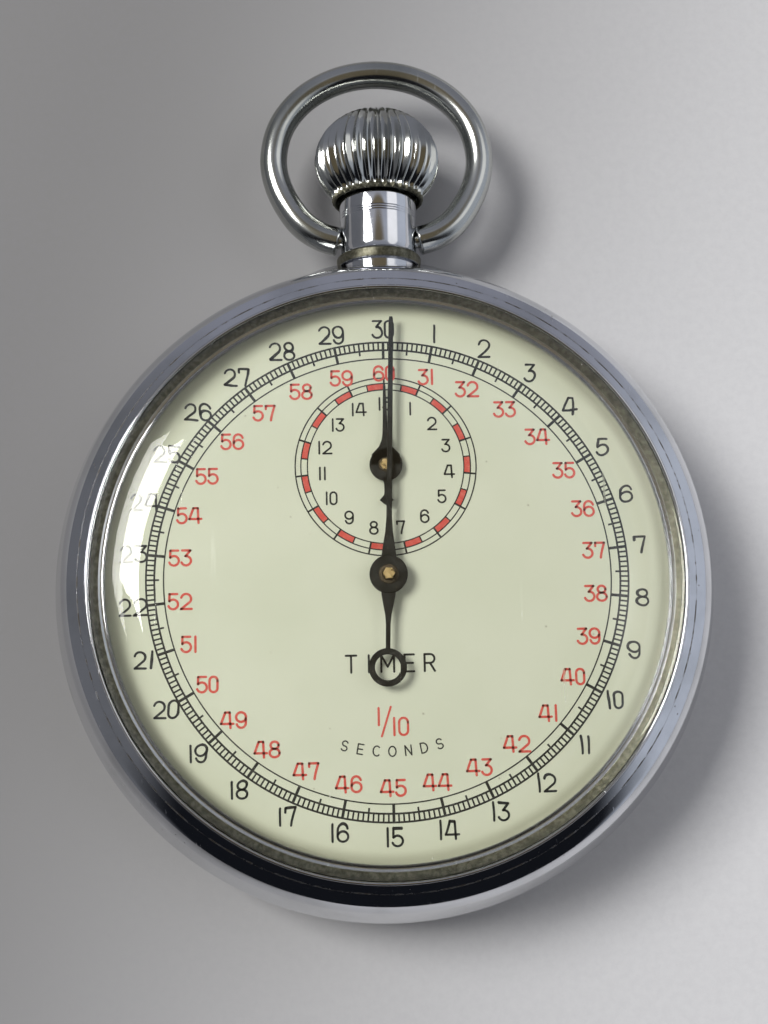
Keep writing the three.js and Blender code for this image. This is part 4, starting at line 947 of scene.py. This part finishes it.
recorder_z = (MINUTE_HAND_Z, MINUTE_HAND_Z + 0.15)
minute_hand = joined(
    blade(RECORDER, MINUTE_BLADE, recorder_z, 0.03),
    blade(RECORDER, MINUTE_TAIL, recorder_z, 0.03),
    disc(RECORDER, 1.25, recorder_z, 0.03))
make_piece("minute_hand_blade", minute_hand, hand_black, "minute_work",
           ["minute_hand"], sharp=28)
pin = joined(
    ring(RECORDER, 0.55, 0.27, (MINUTE_HAND_Z, MINUTE_HAND_Z + 0.26), 0.04),
    disc(RECORDER, 0.24, (MINUTE_HAND_Z, MINUTE_HAND_Z + 0.34), 0.05))
make_piece("minute_hand_pin", pin, bronze, "minute_work", sharp=28)

# ---------------------------------------------------------------- carried-over CAD nodes
for subpart in frame["record"]["subparts"]:
    node = frame["nodes"][subpart["node"]]
    look = CARRIED_LOOKS.get(subpart["material_slot"])
    if look is None or node.hide_render:
        continue
    node.data.materials.clear()
    node.data.materials.append(look)

# ---------------------------------------------------------------- floor
FLOOR_SIZE = 3.0
half = FLOOR_SIZE / 2
floor_mesh = bpy.data.meshes.new("floor")
floor_corners = [(-half, -half, 0), (half, -half, 0), (half, half, 0), (-half, half, 0)]
floor_mesh.from_pydata(floor_corners, [], [(0, 1, 2, 3)])
floor_mesh.materials.append(table_paper())
floor = bpy.data.objects.new("floor", floor_mesh)
scene.collection.objects.link(floor)

# ---------------------------------------------------------------- light


def bearing_vector(azimuth, elevation):
    """Unit vector; azimuth is anticlockwise from +X, both in degrees."""
    a, e = math.radians(azimuth), math.radians(elevation)
    return Vector((math.cos(a) * math.cos(e), math.sin(a) * math.cos(e), math.sin(e)))


# Patches of the room: azimuth and elevation, full within and gone beyond, all in degrees, and colour.
# Each is painted over those before it.
ROOM = (
    (0, 20, 45, 80, (0.56, 0.60, 0.68)),
    (90, 20, 30, 65, (0.28, 0.29, 0.34)),
    (180, 15, 35, 65, (0.16, 0.165, 0.18)),
    (-90, 25, 42, 58, (0.008, 0.009, 0.012)),
    (0, 90, 20, 27, (0.17, 0.14, 0.09)),
    (2, 55, 9, 13, (1.25, 1.25, 1.27)),
    (28, 44, 12, 17, (1.20, 1.20, 1.22)),
)


def soft_room():
    world = bpy.data.worlds.new("soft_room")
    scene.world = world
    n = Nodes(world)
    direction = n.add("TexCoord").outputs["Generated"]
    height = n.add("SeparateXYZ", {0: direction}).outputs[2]
    colour = n.mix(n.between(height, 0.1, 0.9), (0.36, 0.37, 0.42), (0.60, 0.60, 0.63))
    for azimuth, elevation, full, gone, tone in ROOM:
        middle = bearing_vector(azimuth, elevation)
        toward = n.add("VectorMath", {0: direction, 1: middle}, operation="DOT_PRODUCT")
        near = n.between(toward.outputs["Value"], math.cos(math.radians(gone)), math.cos(math.radians(full)))
        colour = n.mix(near, colour, tone)
    sky = n.add("Background", {"Color": colour, "Strength": 1.0}).outputs[0]
    n.add("OutputWorld", {"Surface": sky})


def area_light(name, azimuth, elevation, distance, size, power, colour):
    """A rectangular light aimed at the origin; distance and size in metres, power in watts."""
    light = bpy.data.lights.new(name, "AREA")
    light.shape = "RECTANGLE"
    light.size, light.size_y = size
    light.energy = power
    light.color = colour
    holder = bpy.data.objects.new(name, light)
    toward = bearing_vector(azimuth, elevation)
    holder.location = toward * distance
    holder.rotation_euler = toward.to_track_quat("Z", "Y").to_euler()
    scene.collection.objects.link(holder)


soft_room()
area_light("window_light", azimuth=156, elevation=53, distance=0.9, size=(0.36, 0.34), power=6.5,
           colour=(1.0, 0.99, 0.965))

# ---------------------------------------------------------------- camera
EYE_POINT = Vector((-3.36, -12.63, 116.31))
LOOK = Vector((0.0296, 0.1646, -0.9859))
RIGHT = Vector((0.9994, -0.0226, 0.0262))
camera_data = bpy.data.cameras.new("camera")
camera_data.lens = 49.3
camera_data.sensor_width = 36
camera_data.clip_start = 0.01
camera_data.clip_end = 10
camera = bpy.data.objects.new("camera", camera_data)
back = -LOOK.normalized()
across = (RIGHT - back * RIGHT.dot(back)).normalized()
upward = back.cross(across)
axes = Matrix((across, upward, back)).transposed()
camera.matrix_world = Matrix.Translation(EYE_POINT * MM) @ axes.to_4x4()
scene.collection.objects.link(camera)
scene.camera = camera
scene.view_settings.view_transform = "Standard"
